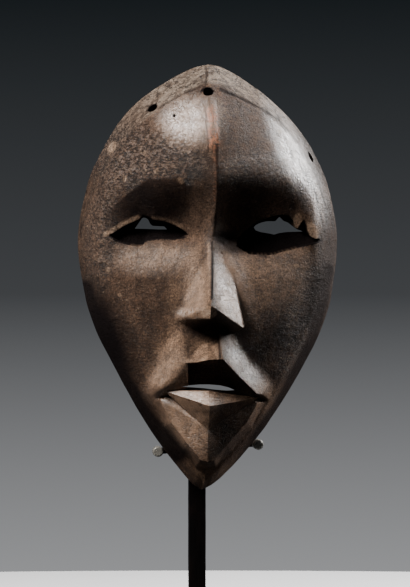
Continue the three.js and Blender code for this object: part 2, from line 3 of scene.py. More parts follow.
import bmesh
import bpy
import numpy as np
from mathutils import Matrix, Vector


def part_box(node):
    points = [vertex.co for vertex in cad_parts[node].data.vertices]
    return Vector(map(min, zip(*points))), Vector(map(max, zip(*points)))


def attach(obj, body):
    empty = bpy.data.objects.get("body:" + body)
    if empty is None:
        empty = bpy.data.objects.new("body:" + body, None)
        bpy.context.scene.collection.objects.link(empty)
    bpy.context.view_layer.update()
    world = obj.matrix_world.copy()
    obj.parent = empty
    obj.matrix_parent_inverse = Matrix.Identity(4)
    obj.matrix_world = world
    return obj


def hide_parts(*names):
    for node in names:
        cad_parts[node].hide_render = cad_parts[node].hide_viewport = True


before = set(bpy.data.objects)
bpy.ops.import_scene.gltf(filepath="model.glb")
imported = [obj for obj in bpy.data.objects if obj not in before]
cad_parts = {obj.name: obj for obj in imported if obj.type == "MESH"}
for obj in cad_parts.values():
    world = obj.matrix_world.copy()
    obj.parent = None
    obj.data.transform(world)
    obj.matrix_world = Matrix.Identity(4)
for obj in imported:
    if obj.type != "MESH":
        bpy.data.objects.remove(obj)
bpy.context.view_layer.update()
print("frame loaded")

# Everything on the mask is measured in its own millimetres: x to the viewer's right, z up from the
# chin's tip, d forward from the flat back of the rim.
maskPlace = {"rimPlane": 24.0, "chin": 90.0}


def toWorld(points):
    x, z, d = np.asarray(points, float).T
    return np.stack([x, maskPlace["rimPlane"] - d, maskPlace["chin"] + z], axis=1) / 1000


# Curves, noise and small mesh helpers

def curveThrough(points):
    xs, ys = np.array(points, float).T
    steps = np.diff(ys) / np.diff(xs)
    slopes = np.concatenate([[steps[0]], np.zeros(len(xs) - 2), [steps[-1]]])
    for i in range(1, len(xs) - 1):
        a, b = steps[i - 1], steps[i]
        slopes[i] = 0 if a * b <= 0 else 2 * a * b / (a + b)

    def at(place):
        place = np.clip(place, xs[0], xs[-1])
        i = np.clip(np.searchsorted(xs, place, side="right") - 1, 0, len(xs) - 2)
        width = xs[i + 1] - xs[i]
        t = (place - xs[i]) / width
        return (ys[i] + (ys[i + 1] - ys[i]) * t * t * (3 - 2 * t)
                + width * t * (1 - t) * (slopes[i] * (1 - t) - slopes[i + 1] * t))

    return at


def softMin(a, b, reach):
    h = np.maximum(reach - np.abs(a - b), 0) / reach
    return np.minimum(a, b) - h * h * reach / 4


def softMax(a, b, reach):
    return -softMin(-a, -b, reach)


def smooth(value, low, high):
    t = np.clip((value - low) / (high - low), 0, 1)
    return t * t * (3 - 2 * t)


noiseTables = {}


def noise(x, z, size, seed, octaves=3):
    total, weight, weights = 0, 1.0, 0
    for octave in range(octaves):
        key = seed + 31 * octave
        if key not in noiseTables:
            noiseTables[key] = np.random.default_rng(key).uniform(-1, 1, (256, 256))
        table = noiseTables[key]
        u, v = x / size + 17.3 * octave, z / size + 5.1 * octave
        i, j = np.floor(u).astype(int), np.floor(v).astype(int)
        s, t = u - i, v - j
        s, t = s * s * (3 - 2 * s), t * t * (3 - 2 * t)
        a, b = table[i % 256, j % 256], table[(i + 1) % 256, j % 256]
        c, d = table[i % 256, (j + 1) % 256], table[(i + 1) % 256, (j + 1) % 256]
        total = total + weight * ((a * (1 - s) + b * s) * (1 - t) + (c * (1 - s) + d * s) * t)
        weights += weight
        weight *= 0.55
        size *= 0.5
    return total / weights


def patch(x, z, middle, radii, turn=0.0, soft=0.35):
    # 1 inside a leaning oval, falling to 0 past its edge
    c, s = math.cos(math.radians(turn)), math.sin(math.radians(turn))
    u = ((x - middle[0]) * c + (z - middle[1]) * s) / radii[0]
    v = (-(x - middle[0]) * s + (z - middle[1]) * c) / radii[1]
    return 1 - smooth(np.hypot(u, v), 1 - soft, 1 + soft)


def stroke(x, z, points, width, soft=0.6):
    # 1 along a broken line, falling to 0 past its half width
    best = np.full(np.shape(x), 1e9)
    for (x0, z0), (x1, z1) in zip(points[:-1], points[1:]):
        dx, dz = x1 - x0, z1 - z0
        t = np.clip(((x - x0) * dx + (z - z0) * dz) / (dx * dx + dz * dz), 0, 1)
        best = np.minimum(best, np.hypot(x - x0 - t * dx, z - z0 - t * dz))
    return 1 - smooth(best, width / 2 * (1 - soft), width / 2 * (1 + soft))


def meshFrom(name, vertices, faces):
    mesh = bpy.data.meshes.new(name)
    mesh.from_pydata(np.asarray(vertices).tolist(), [], [list(map(int, f)) for f in faces])
    mesh.update()
    made = bpy.data.objects.new(name, mesh)
    bpy.context.scene.collection.objects.link(made)
    return made


def keepResult(target):
    # replaces the mesh by what its modifiers make of it
    bpy.context.view_layer.update()
    seen = target.evaluated_get(bpy.context.evaluated_depsgraph_get())
    result = bpy.data.meshes.new_from_object(seen)
    target.modifiers.clear()
    target.data = result


def booleanOf(target, cutter, operation):
    step = target.modifiers.new(operation, "BOOLEAN")
    step.operation, step.solver, step.object = operation, "MANIFOLD", cutter
    keepResult(target)
    bpy.data.objects.remove(cutter)


def ringFaces(first, second, count):
    # between two rings of points that start at these numbers
    turns = [(n, (n + 1) % count) for n in range(count)]
    return [[first + n, second + n, second + m, first + m] for n, m in turns]


def outward(made):
    net = bmesh.new()
    net.from_mesh(made.data)
    bmesh.ops.remove_doubles(net, verts=net.verts, dist=1e-7)
    bmesh.ops.recalc_face_normals(net, faces=net.faces)
    net.to_mesh(made.data)
    net.free()


def solidFrom(name, points, faces):
    made = meshFrom(name, toWorld(points), faces)
    outward(made)
    return made


def smoothed(piece, sharpAngle=None):
    for face in piece.data.polygons:
        face.use_smooth = True
    if sharpAngle:
        piece.data.set_sharp_from_angle(angle=math.radians(sharpAngle))
    return piece


# The mask's plain form

maskShape = {
    "height": 236.0, "width": 144.0, "depth": 75.0, "wall": 9.0, "rim": 8.0, "rimInset": 1.5,
    "columns": 220, "rows": 306, "hollowColumns": 84, "hollowRows": 120, "blade": 7.5, "eyeLine": 0.589,
    "eyeDepth": 0.55, "rimBulge": 0.16, "hub": 0.445,
    "outline": [(0, 0), (0.012, 0.07), (0.047, 0.187), (0.155, 0.466), (0.305, 0.754), (0.38, 0.873),
        (0.455, 0.949), (0.587, 1), (0.718, 0.926), (0.794, 0.817), (0.869, 0.657), (0.925, 0.47),
        (0.962, 0.296), (0.985, 0.165), (0.996, 0.07), (1, 0)],
    "crown": [(0, 0.58), (0.12, 0.65), (0.3, 0.72), (0.5, 0.76), (0.63, 0.86), (0.74, 0.93), (0.86, 0.92),
        (1, 0.82)],
    "sideSlope": [(0, 3.1), (0.3, 3.3), (0.55, 3.6), (0.8, 2.9), (1, 2.2)],
    "creaseSoftness": [(0, 4), (0.2, 5), (0.62, 12), (0.8, 4), (0.88, 1.2), (1, 1)],
    "foreheadFall": [(0.5, 0), (0.68, 0.1), (0.85, 0.14), (1, 0.1)],
    "ridgeStray": [(0, -0.034), (0.065, -0.052), (0.19, -0.034), (0.33, -0.035), (0.44, -0.018),
        (0.585, 0.004), (0.7, 0.044), (0.81, 0.048), (0.87, 0.028), (0.932, -0.01), (1, 0)],
    "outlineStray": [(0, -0.047), (0.03, -0.03), (0.065, -0.02), (0.21, 0), (0.32, 0.007), (0.6, 0),
        (0.8, 0), (0.91, -0.017), (1, 0.007)],
    "tilt": [(0, 0), (0.1, 0), (0.23, -0.085), (0.38, -0.14), (0.46, -0.06), (0.55, 0), (1, 0)],
    "noseRoot": [(0, 0.165), (0.1, 0.09), (0.22, 0.02), (0.34, 0), (1, 0)],
    "browLine": [(0, 0.775), (0.5, 0.775), (0.7, 0.745), (0.85, 0.68), (0.95, 0.63)],
}
tall, half, deep = maskShape["height"], maskShape["width"] / 2, maskShape["depth"]
hub = maskShape["hub"] * tall
shapeCurves = {name: curveThrough(value) for name, value in maskShape.items() if isinstance(value, list)}

rimHeights = (1 - np.cos(np.linspace(0, np.pi, 1441))) / 2
rimX, rimZ = shapeCurves["outline"](rimHeights) * half, rimHeights * tall - hub
rimAngles, rimReach = np.arctan2(rimZ, rimX), np.hypot(rimX, rimZ)


def rimRadius(angle):
    return np.interp(np.arctan2(np.sin(angle), np.abs(np.cos(angle))), rimAngles, rimReach)


def placeOf(x, z):
    # share of the way to the outline, and square distance inside it
    angle = np.arctan2(z - hub, x)
    radius = rimRadius(angle)
    turn = (rimRadius(angle + 0.01) - rimRadius(angle - 0.01)) / 0.02 / radius
    reach = np.hypot(x, z - hub)
    return reach / radius, (radius - reach) / np.hypot(1, np.minimum(np.abs(turn), 1))


def hollowedDepth(x, z, share):
    height = z / tall
    full = (shapeCurves["crown"](height) * deep * (1 - 0.5 * np.minimum(share, 1) ** 2.8)
            - shapeCurves["foreheadFall"](height) * np.abs(x))
    side = np.abs(x) / half
    rise = height - maskShape["eyeLine"]
    above = smooth(rise / (shapeCurves["browLine"](side) - maskShape["eyeLine"]), 0, 1)
    filled = np.where(rise >= 0, above, 1 - np.exp(np.minimum(rise, 0) / 0.05))
    kept = np.maximum(filled, smooth(side, 0.66, 0.9))
    floor = (maskShape["eyeDepth"] + shapeCurves["noseRoot"](side)) * deep
    return full - np.maximum(full - floor, 0) * (1 - kept)


def faceDepth(x, z):
    share, inside = placeOf(x, z)
    height = z / tall
    side = maskShape["rimBulge"] * deep + np.maximum(inside, 0) * shapeCurves["sideSlope"](height)
    return softMin(hollowedDepth(x, z, share), side, shapeCurves["creaseSoftness"](height))


def backDepth(x, z):
    share, inside = placeOf(x, z)
    body = hollowedDepth(x, z, share) - maskShape["wall"]
    side = np.maximum(inside - maskShape["rim"], 0) * 0.85 * shapeCurves["sideSlope"](z / tall)
    return softMin(body, side, 6.0)


def stray(x, z):
    # how far the carving leans away from true symmetry
    share = np.minimum(placeOf(x, z)[0], 1) ** 2
    height = z / tall
    ridge, outline, tilt = (shapeCurves[name](height) for name in ("ridgeStray", "outlineStray", "tilt"))
    return x + half * (ridge * (1 - share) + outline * share), z + x * tilt * (1 - share)


# Carved planes, as nets of points in percent of the half width, the height and the depth

def at(x, z, d):
    return (x / 100 * half, z / 100 * tall, d / 100 * deep)


def under(x, z, sink=1.0):
    px, pz, _ = at(x, z, 0)
    return (px, pz, float(faceDepth(np.array(px), np.array(pz))) - sink)


def unlike(points, faces):
    return [[points[name] for name in face.split()] for face in faces.split(",")]


def bothSides(points, faces):
    net = []
    for face in unlike(points, faces):
        net += [face, [(-x, z, d) for x, z, d in face]]
    return net


def nosePlane(x, z):
    return at(x, z, 71.5 + 1.875 * (58.6 - z) - 0.893 * x)


noseNet = unlike({
    "bridge": at(0, 58.6, 71.5), "tip": at(0, 43.4, 100), "base": at(0, 40.4, 95),
    "underTip": at(0, 35.4, 66), "shoulder": nosePlane(12.5, 56), "edge": nosePlane(19, 48),
    "wing": nosePlane(25.4, 39.2), "wingFoot": under(27.2, 39.3), "underWing": at(15, 36.6, 66),
    "leftWing": at(-24.5, 39.2, 73.5), "underLeft": at(-15, 36.6, 66),
}, """
    bridge tip wing, bridge wing edge, bridge edge shoulder, edge wing wingFoot, tip base wing,
    base underTip underWing, base underWing wing, underWing wingFoot wing, bridge leftWing tip,
    tip leftWing base, base underLeft underTip, base leftWing underLeft
""")


def lipPlane(x, z):
    return at(x, z, 86 - 0.98 * (x - 10.6) - 0.85 * (z - 31.4))


# the muzzle: a soft roll down to the left, one flat plane down to the right, a step beside the middle
muzzleNet = unlike({
    "top": at(0, 35.3, 70), "stepTop": at(7.4, 35.8, 71), "lip": at(0, 30.9, 87),
    "stepLip": at(7.8, 31.2, 84), "planeTop": lipPlane(8.2, 37.2), "planeSide": lipPlane(25, 38.6),
    "planeLip": lipPlane(10.6, 31.4), "planeOut": lipPlane(36, 31.9), "cornerIn": lipPlane(36.2, 23.3),
    "cornerOut": lipPlane(40.4, 23.1), "cornerSide": under(50, 26), "rollTop": at(-20.7, 37.8, 73),
    "rollSide": under(-28, 38.7), "roll": at(-25, 32.2, 76.5), "rollOut": under(-39, 32.2),
    "rollLow": at(-38.5, 23.8, 67), "rollLowOut": under(-48, 24.5), "rollEnd": under(-47, 21, 0.5),
    "lipIn": at(-9.2, 30, 85), "lipTurn": at(-18.3, 29.6, 81), "lipSide": at(-28.5, 25.5, 73),
    "lipCorner": at(-34.9, 23, 66), "low": at(0, 24, 72), "lowRight": at(12, 24, 72),
    "lowLeft": at(-16, 24, 70), "footRight": under(50, 20.5), "footLeft": under(-46, 20),
}, """
    top rollTop lipTurn, top lipTurn lipIn, top lipIn lip, top lip stepLip, top stepLip stepTop,
    stepTop stepLip planeTop, planeTop stepLip planeLip, planeTop planeLip planeSide,
    planeSide planeLip planeOut, planeLip cornerIn planeOut, planeOut cornerIn cornerOut,
    planeOut cornerOut cornerSide, rollTop roll lipTurn, roll lipSide lipTurn, roll rollLow lipSide,
    rollLow lipCorner lipSide, rollTop rollSide rollOut, rollTop rollOut roll, roll rollOut rollLowOut,
    roll rollLowOut rollLow, rollLow rollLowOut rollEnd, rollLow rollEnd lipCorner, lip low stepLip,
    stepLip low lowRight, stepLip lowRight planeLip, planeLip lowRight cornerIn,
    lowRight footRight cornerIn, cornerIn footRight cornerOut, footRight cornerSide cornerOut,
    lip lipIn low, lipIn lowLeft low, lipIn lipTurn lowLeft, lipTurn lipSide lowLeft,
    lipSide lipCorner lowLeft, lipCorner footLeft lowLeft, lipCorner rollEnd footLeft
""")
# what is cut out under the upper lip; a shelf stays at its left end
mouthNet = unlike({
    "lip": at(0, 30.9, 74), "stepLip": at(7.8, 31.2, 74), "planeLip": at(10.6, 31.4, 74),
    "cornerIn": at(36.2, 23.3, 62), "lipIn": at(-9.2, 30, 78), "lipTurn": at(-18.3, 29.6, 80.5),
    "lipSide": at(-28.5, 25.5, 72.5), "lipCorner": at(-34.9, 23, 65.5), "shelfTop": at(-15.8, 29.3, 80),
    "shelfFoot": at(-16, 24, 74.5), "backTop": at(-14.4, 29.1, 68), "backLeft": at(-14.8, 24.2, 60),
    "backMiddle": at(0, 24.6, 61), "backRight": at(17, 24.6, 60), "lowRight": at(16, 20.5, 59),
    "lowLeft": at(-16, 20.5, 59), "low": at(0, 16.5, 57),
}, """
    lipTurn lipIn shelfTop, shelfTop lipIn backTop, backTop lipIn lip, backTop lip backMiddle,
    backTop backMiddle backLeft, lip stepLip backMiddle, stepLip planeLip backRight,
    stepLip backRight backMiddle, planeLip cornerIn backRight, backRight cornerIn lowRight,
    backRight lowRight backMiddle, backMiddle lowRight low, lipTurn shelfTop shelfFoot,
    lipTurn shelfFoot lipSide, lipSide shelfFoot lipCorner, lipCorner shelfFoot lowLeft,
    shelfTop backTop backLeft, shelfTop backLeft shelfFoot, shelfFoot backLeft lowLeft,
    backLeft low lowLeft, backLeft backMiddle low
""")
lowerLipNet = unlike({
    "left": at(-33.8, 23.1, 63.5), "right": at(38, 22.4, 60), "inner": at(0, 24, 60),
    "front": at(0, 23.6, 80), "edge": at(0, 20.2, 87.5), "low": at(0, 14.7, 70.5),
}, """
    inner front left, front edge left, edge low left, inner front right, front edge right, edge low right
""")
chinNet = bothSides({
    "keelTop": at(0, 14.9, 70), "keelFoot": at(0, 7, 65.5), "foot": at(5, 7.4, 64),
    "cheek": at(15, 11, 62.3), "jaw": at(29, 16.2, 60.2), "side": at(37.5, 21.3, 60),
    "inner": under(20, 22.6), "innerKeel": under(0, 18.5), "skirtKeel": under(0, 5.2),
    "skirtFoot": under(8, 5.4), "skirtCheek": under(20, 9), "skirtJaw": under(35, 14.4),
    "skirtSide": under(44, 21),
}, """
    keelTop jaw side, keelTop side inner, keelTop inner innerKeel, keelTop cheek jaw, keelTop foot cheek,
    keelTop keelFoot foot, side jaw skirtJaw, side skirtJaw skirtSide, side skirtSide inner,
    jaw cheek skirtCheek, jaw skirtCheek skirtJaw, cheek foot skirtFoot, cheek skirtFoot skirtCheek,
    foot keelFoot skirtKeel, foot skirtKeel skirtFoot
""")


def netDepth(x, z, net):
    best = np.full(np.shape(x), -1e3)
    for a, b, c in net:
        area = (b[1] - c[1]) * (a[0] - c[0]) + (c[0] - b[0]) * (a[1] - c[1])
        if abs(area) < 1e-9:
            continue
        u = ((b[1] - c[1]) * (x - c[0]) + (c[0] - b[0]) * (z - c[1])) / area
        v = ((c[1] - a[1]) * (x - c[0]) + (a[0] - c[0]) * (z - c[1])) / area
        w = 1 - u - v
        depth = u * a[2] + v * b[2] + w * c[2]
        best = np.where((u > -1e-6) & (v > -1e-6) & (w > -1e-6), np.maximum(best, depth), best)
    return best


def crispDepth(x, z):
    depth = faceDepth(x, z)
    for net in (noseNet, muzzleNet, chinNet):
        depth = softMax(depth, netDepth(x, z, net), 0.8)
    return depth


# where the planes melt into each other: middle, radii and lean of an oval, and how far it softens
softPlaces = [((-23, 74), (12, 25), -20, 2.6), ((-15, 112), (8, 22), -4, 2.2), ((-4, 143), (12, 9), 0, 1.6),
              ((25, 70), (6, 19), 32, 2.4)]


def carvedDepth(x, z):
    depth = crispDepth(x, z)
    for middle, radii, lean, reach in softPlaces:
        share = patch(x, z, middle, radii, lean, 0.3)
        taps = [crispDepth(x + reach * size * math.cos(turn), z + reach * size * math.sin(turn))
                for size in (0.5, 1.0) for turn in np.arange(6) * math.pi / 3 + size]
        depth = depth + (sum(taps) / len(taps) - depth) * share
    return depth


# Relief over the whole face, in millimetres out of the wood

reliefFacts = {"crust": 0.30, "toolMarks": 0.16, "grain": 0.03}
# raised and cut lines: points, width, softness, millimetres out of the wood
reliefLines = {
    "rib": ([(0.6, 190), (0.2, 204), (-0.3, 215)], 3.8, 0.3, 0.55),
    "scratch": ([(3.2, 178), (3.3, 192), (1.9, 216)], 0.9, 0.5, 0.35),
    "ridge": ([(-0.2, 137), (-0.6, 120), (-1.3, 106)], 0.9, 0.5, -0.45),
    "step": ([(3.5, 86), (3.7, 79), (4.1, 72)], 1.2, 0.5, -0.6),
    "crack": ([(5.5, 221), (16, 216.5), (27, 211.5), (38, 205)], 0.9, 0.5, -0.4),
}
# where old crusted matter clings: strength, middle, radii and lean of an oval
crustPatches = {
    "forehead": [(1.0, (-40, 182), (29, 18), -28), (0.9, (-20, 179), (17, 12), 0)],
    "elsewhere": [(0.8, (-60, 140), (9, 34), -6), (0.45, (22, 176), (20, 9), 4),
        (0.4, (57, 176), (8, 28), 24), (0.4, (52, 98), (9, 34), -24), (0.2, (-40, 84), (12, 26), 24),
        (0.15, (0, 228), (26, 8), 0), (0.2, (24, 112), (18, 26), 0)],
}


def aboveSocket(x, z):
    # the crust on the forehead ends along a broken line over the left eye
    line = np.interp(x, [-60, -44.7, -39.1, -33.6, -22.5, -18.1, -14.2, -8],
                     [152, 164.5, 168.4, 171.2, 171.7, 172.8, 168.4, 167])
    return smooth(z - line + 2.2 * noise(x, z, 6.0, 91, 3), -0.7, 0.7)


def crustShare(x, z):
    forehead, elsewhere = (sum(strength * patch(x, z, *oval) for strength, *oval in ovals)
                           for ovals in crustPatches.values())
    return np.clip(aboveSocket(x, z) * forehead + elsewhere, 0, 1)


def reliefAt(x, z):
    lumps = noise(x, z, 1.7, 11, 4)
    crust = crustShare(x, z) * reliefFacts["crust"] * (smooth(lumps, -0.1, 0.5) + 0.5 * lumps)
    marks = reliefFacts["toolMarks"] * noise(x * 1.2, z * 0.5, 9.0, 23, 2)
    grain = reliefFacts["grain"] * noise(x, z * 0.12, 1.6, 37, 2)
    drawn = sum(out * stroke(x, z, *line) for *line, out in reliefLines.values())
    return crust + marks + grain + drawn


# Grids laid over the pointed oval

def ovalGrid(columns, rows, inset, depthAt):
    t = np.linspace(-1, 1, columns + 1)
    s = np.linspace(-1, 1, rows + 1)
    a, b = np.meshgrid(t * (0.78 + 0.22 * t * t), s * (0.78 + 0.22 * s * s))
    p, q = a * np.sqrt(1 - b * b / 2), b * np.sqrt(1 - a * a / 2)
    angle = np.arctan2(q, p)
    reach = np.hypot(p, q) * (rimRadius(angle) - inset)
    x, z = reach * np.cos(angle), hub + reach * np.sin(angle)
    return x, z, depthAt(x, z)


def gridFaces(columns, rows):
    i, j = np.meshgrid(np.arange(columns), np.arange(rows))
    a = (j * (columns + 1) + i).ravel()
    return np.stack([a, a + 1, a + columns + 2, a + columns + 1], axis=1).tolist()


def gridEdge(columns, rows):
    wide = columns + 1
    return ([i for i in range(columns)] + [j * wide + columns for j in range(rows)]
            + [rows * wide + i for i in range(columns, 0, -1)] + [j * wide for j in range(rows, 0, -1)])


def closedBehind(name, grid, columns, rows, rings, relief=None):
    x, z, d = grid
    points = np.stack([*stray(x, z), d], axis=-1)
    if relief is not None:
        across, up = np.gradient(points, axis=1), np.gradient(points, axis=0)
        normal = np.cross(across, up)
        normal /= np.maximum(np.linalg.norm(normal, axis=-1, keepdims=True), 1e-9)
        normal *= np.sign(normal[..., 2:3] + 1e-9)
        points = points + normal * relief(points[..., 0], points[..., 1])[..., None]
    vertices = points.reshape(-1, 3).tolist()
    faces = gridFaces(columns, rows)
    edge = last = gridEdge(columns, rows)
    for depth, inset in rings:
        ring = []
        for k in edge:
            px, pz, _ = vertices[k]
            shrink = 1 - inset / math.hypot(px, pz - hub)
            ring.append(len(vertices))
            vertices.append([px * shrink, hub + (pz - hub) * shrink, depth])
        for n in range(len(ring)):
            m = (n + 1) % len(ring)
            faces.append([last[n], ring[n], ring[m], last[m]])
        last = ring
    middle = len(vertices)
    vertices.append([0, hub, rings[-1][0]])
    for n in range(len(last)):
        faces.append([last[n], middle, last[(n + 1) % len(last)]])
    return solidFrom(name, vertices, faces)


def gouged(x, z):
    # shallow hollows left by a curved blade inside the mask
    lean = x * 0.25 + z
    row = np.floor(lean / maskShape["blade"])
    along = (x + 3.7 * np.sin(row * 2.4)) / 9.0
    across = lean / maskShape["blade"] - row
    cup = ((along - np.floor(along) - 0.5) * 2) ** 2 * 0.5 + ((across - 0.5) * 2) ** 2
    return (0.45 * (cup - 0.6) + 0.25 * noise(x, z, 14.0, 71, 2)) * smooth(backDepth(x, z), 0, 12)


# Cutters

def netSolid(name, net, wallDepth, fineness=8, roughness=0.15, seed=5):
    points, index, faces = [], {}, []
    def number(p):
        key = tuple(round(v, 4) for v in p)
        if key not in index:
            index[key] = len(points)
            points.append(list(p))
        return index[key]
    for a, b, c in net:
        area = (b[0] - a[0]) * (c[1] - a[1]) - (b[1] - a[1]) * (c[0] - a[0])
        faces.append([number(p) for p in ((a, b, c) if area > 0 else (a, c, b))])
    count = len(points)
    edges = {(f[i], f[(i + 1) % 3]) for f in faces for i in range(3)}
    points += [[p[0], p[1], wallDepth] for p in points]
    faces += [[a + count, c + count, b + count] for a, b, c in faces[:]]
    for a, b in edges:
        if (b, a) not in edges:
            faces.append([a, a + count, b + count, b])
    made = meshFrom(name, points, faces)
    net = bmesh.new()
    net.from_mesh(made.data)
    bmesh.ops.triangulate(net, faces=net.faces)
    bmesh.ops.subdivide_edges(net, edges=net.edges, cuts=fineness, use_grid_fill=True)
    place = np.array([v.co[:] for v in net.verts])
    x, z = stray(place[:, 0], place[:, 1])
    push = roughness * np.stack([noise(x + place[:, 2], z, 3.0, seed + k, 3) for k in range(3)], axis=1)
    for v, co in zip(net.verts, toWorld(np.stack([x, z, place[:, 2]], axis=1) + push)):
        v.co = co
    net.to_mesh(made.data)
    net.free()
    outward(made)
    return made


def resampled(points, count, closed=False):
    points = np.array(list(points) + [points[0]] * closed, float)
    run = np.concatenate([[0], np.cumsum(np.hypot(*np.diff(points, axis=0).T))])
    places = np.linspace(0, run[-1], count, endpoint=not closed)
    return np.stack([np.interp(places, run, points[:, k]) for k in range(2)], axis=1)


def eyeLoop(left, over, right, beneath, count=48):
    # corner to corner over the top, then back along the lower lid
    top = resampled([left] + over + [right], count)
    low = resampled([right] + beneath + [left], count)
    return np.concatenate([top[:-1], low[:-1]])


def loftSolid(name, sections):
    # sections are (loop, depth), front to back
    count = len(sections[0][0])
    vertices = [(x, z, d) for loop, d in sections for x, z in loop]
    faces = []
    for k in range(len(sections) - 1):
        faces += ringFaces(k * count, (k + 1) * count, count)
    vertices.append((*np.mean(sections[0][0], axis=0), sections[0][1]))
    vertices.append((*np.mean(sections[-1][0], axis=0), sections[-1][1]))
    last = (len(sections) - 1) * count
    for n in range(count):
        m = (n + 1) % count
        faces.append([len(vertices) - 2, n, m])
        faces.append([len(vertices) - 1, last + m, last + n])
    return solidFrom(name, vertices, faces)


# front loop at the face, back loop where the cut comes out behind, both in millimetres
eyeCuts = {
    "leftEye": {
        "front": {"left": (-56.3, 141.2), "over": [(-53.4, 142), (-49.8, 144.8), (-44.6, 147.3),
            (-40.4, 149), (-37, 152), (-34.6, 151.4), (-31.6, 149.4), (-25.6, 148.5), (-21, 146.9),
            (-17, 145), (-13.8, 142.8)], "right": (-12.2, 141), "beneath": [(-14.3, 139.2), (-20, 138.2),
            (-27.4, 138.6), (-35.7, 137.5), (-37.4, 134.9), (-40.1, 134.4), (-46.2, 135.7), (-51.4, 137),
            (-54.5, 139.2)]},
        "back": {"left": (-41.4, 144.5), "over": [(-38.3, 148.9), (-36.6, 151.3), (-34, 149.7),
            (-32.7, 147.1), (-31.4, 146.1), (-25, 145.8)], "right": (-23.4, 144.1),
            "beneath": [(-28, 144.1), (-36, 144.4)]},
    },
    "rightEye": {
        "front": {"left": (14, 134.6), "over": [(14.6, 138), (18, 142.4), (22.8, 146.2), (27.9, 149.4),
            (33.3, 151.2), (38.7, 152.5), (42.7, 151.6), (46, 148.6), (47.8, 144), (49.8, 147.6),
            (51.6, 149.8), (53, 146), (54.4, 140.8), (57.6, 138.8)], "right": (62.6, 138.6),
            "beneath": [(60.2, 137), (56, 135.6), (48.8, 134.2), (44, 132.8), (39, 131.6), (34.5, 130.2),
            (29.8, 129.9), (20.8, 130.4)]},
        "back": {"left": (24.1, 145.3), "over": [(25.8, 147.3), (29.6, 148.7), (35.9, 148.7),
            (38.3, 151.2), (40.7, 148.9), (43.1, 148), (46, 145.8), (48.4, 144.1)],
            "right": (53.5, 143.1), "beneath": [(42.2, 142.7), (38.3, 142.2), (35.4, 141.3), (32, 142),
            (27.7, 142.7), (25, 143.7)]},
    },
}
# how far forward the cuts start, turn inward and end
cutDepths = {"start": 74, "lid": 43.8, "turn": 39.6, "throat": 37, "end": 4, "slitEnd": 2}


def eyeCutter(name):
    front, back = (eyeLoop(**eyeCuts[name][side]) for side in ("front", "back"))
    middle = front.mean(axis=0)
    loops = {"start": middle + (front - middle) * 1.02, "lid": front, "turn": front * 0.86 + back * 0.14,
             "throat": back, "end": back}
    return loftSolid(name, [(loop, cutDepths[place]) for place, loop in loops.items()])


def insideLoop(x, z, loop):
    inside = np.zeros(len(x), bool)
    for (x0, z0), (x1, z1) in zip(loop, np.roll(loop, -1, axis=0)):
        inside ^= ((z0 > z) != (z1 > z)) & (x < (x1 - x0) * (z - z0) / (z1 - z0 + 1e-9) + x0)
    return inside


def drilled(name, place, radius, sideways, upward, reach=36, sides=28):
    x, z = place
    d = float(carvedDepth(np.array(x), np.array(z)))
    along = Vector((math.tan(sideways), math.tan(upward), 1)).normalized()
    side = along.cross(Vector((0, 1, 0))).normalized()
    other = along.cross(side)
    vertices, faces = [], []
    for step in (0.5, -0.5):
        for n in range(sides):
            turn = 2 * math.pi * n / sides
            size = radius * (1 + 0.05 * math.sin(3 * turn + x))
            around = side * math.cos(turn) * size + other * math.sin(turn) * size
            spot = Vector((x, z, d)) + along * step * reach + around
            vertices.append((*stray(np.array(spot[0]), np.array(spot[1])), spot[2]))
    faces += [list(range(sides)), list(range(2 * sides - 1, sides - 1, -1))]
    faces += ringFaces(0, sides, sides)
    return solidFrom(name, vertices, faces)


# a hole's place, radius, and how it leans sideways and upward
holeFacts = {
    "crownHole": ((-0.9, 219.6), 2.9, 0.0, 0.5), "leftHole": ((-30.6, 210.9), 3.0, -0.25, 0.35),
    "rightHole": ((56.2, 184.4), 3.0, 0.8, 0.2), "borerHole": ((-19.9, 206.3), 0.9, -0.2, 0.3),
}
mouthSlit = [(-17.4, 57.9), (-12, 58.6), (-6, 59.1), (-1, 59.1), (5, 58.6), (10, 57.4), (13.6, 55.8),
             (9, 55.6), (2, 56.2), (-4, 57.0), (-10, 57.4)]


def makeMask():
    columns, rows = maskShape["columns"], maskShape["rows"]
    bulge, inset = maskShape["rimBulge"] * deep, maskShape["rimInset"]
    rings = [(bulge * a, inset * b) for a, b in ((0.7, 0.12), (0.4, 0.4), (0.12, 0.75), (0, 1))]
    grid = ovalGrid(columns, rows, 0, carvedDepth)
    mask = closedBehind("carvedMask", grid, columns, rows, rings, reliefAt)
    booleanOf(mask, netSolid("mouthCut", mouthNet, 1.3 * deep), "DIFFERENCE")
    booleanOf(mask, netSolid("lowerLip", lowerLipNet, 0.15 * deep, seed=9), "UNION")
    columns, rows = maskShape["hollowColumns"], maskShape["hollowRows"]
    grid = ovalGrid(columns, rows, maskShape["rim"], lambda x, z: np.maximum(backDepth(x, z), 0.05))
    cutters = [closedBehind("hollow", grid, columns, rows, [(-5, 0)], gouged)]
    cutters += [eyeCutter(name) for name in eyeCuts]
    slit = resampled(mouthSlit, 60, closed=True)
    cutters.append(loftSolid("mouthSlit", [(slit, cutDepths["start"]), (slit, cutDepths["slitEnd"])]))
    cutters += [drilled(name, *facts) for name, facts in holeFacts.items()]
    for cutter in cutters:
        booleanOf(mask, cutter, "DIFFERENCE")
    print("mask", len(mask.data.polygons), "faces")
    return mask


mask = makeMask()


# Finishes over the mask: shares from 0 to 1, painted on its points and read by the wood's material.
# A spot is (middle, radii, lean in degrees, strength) and a line is (points, width, strength).

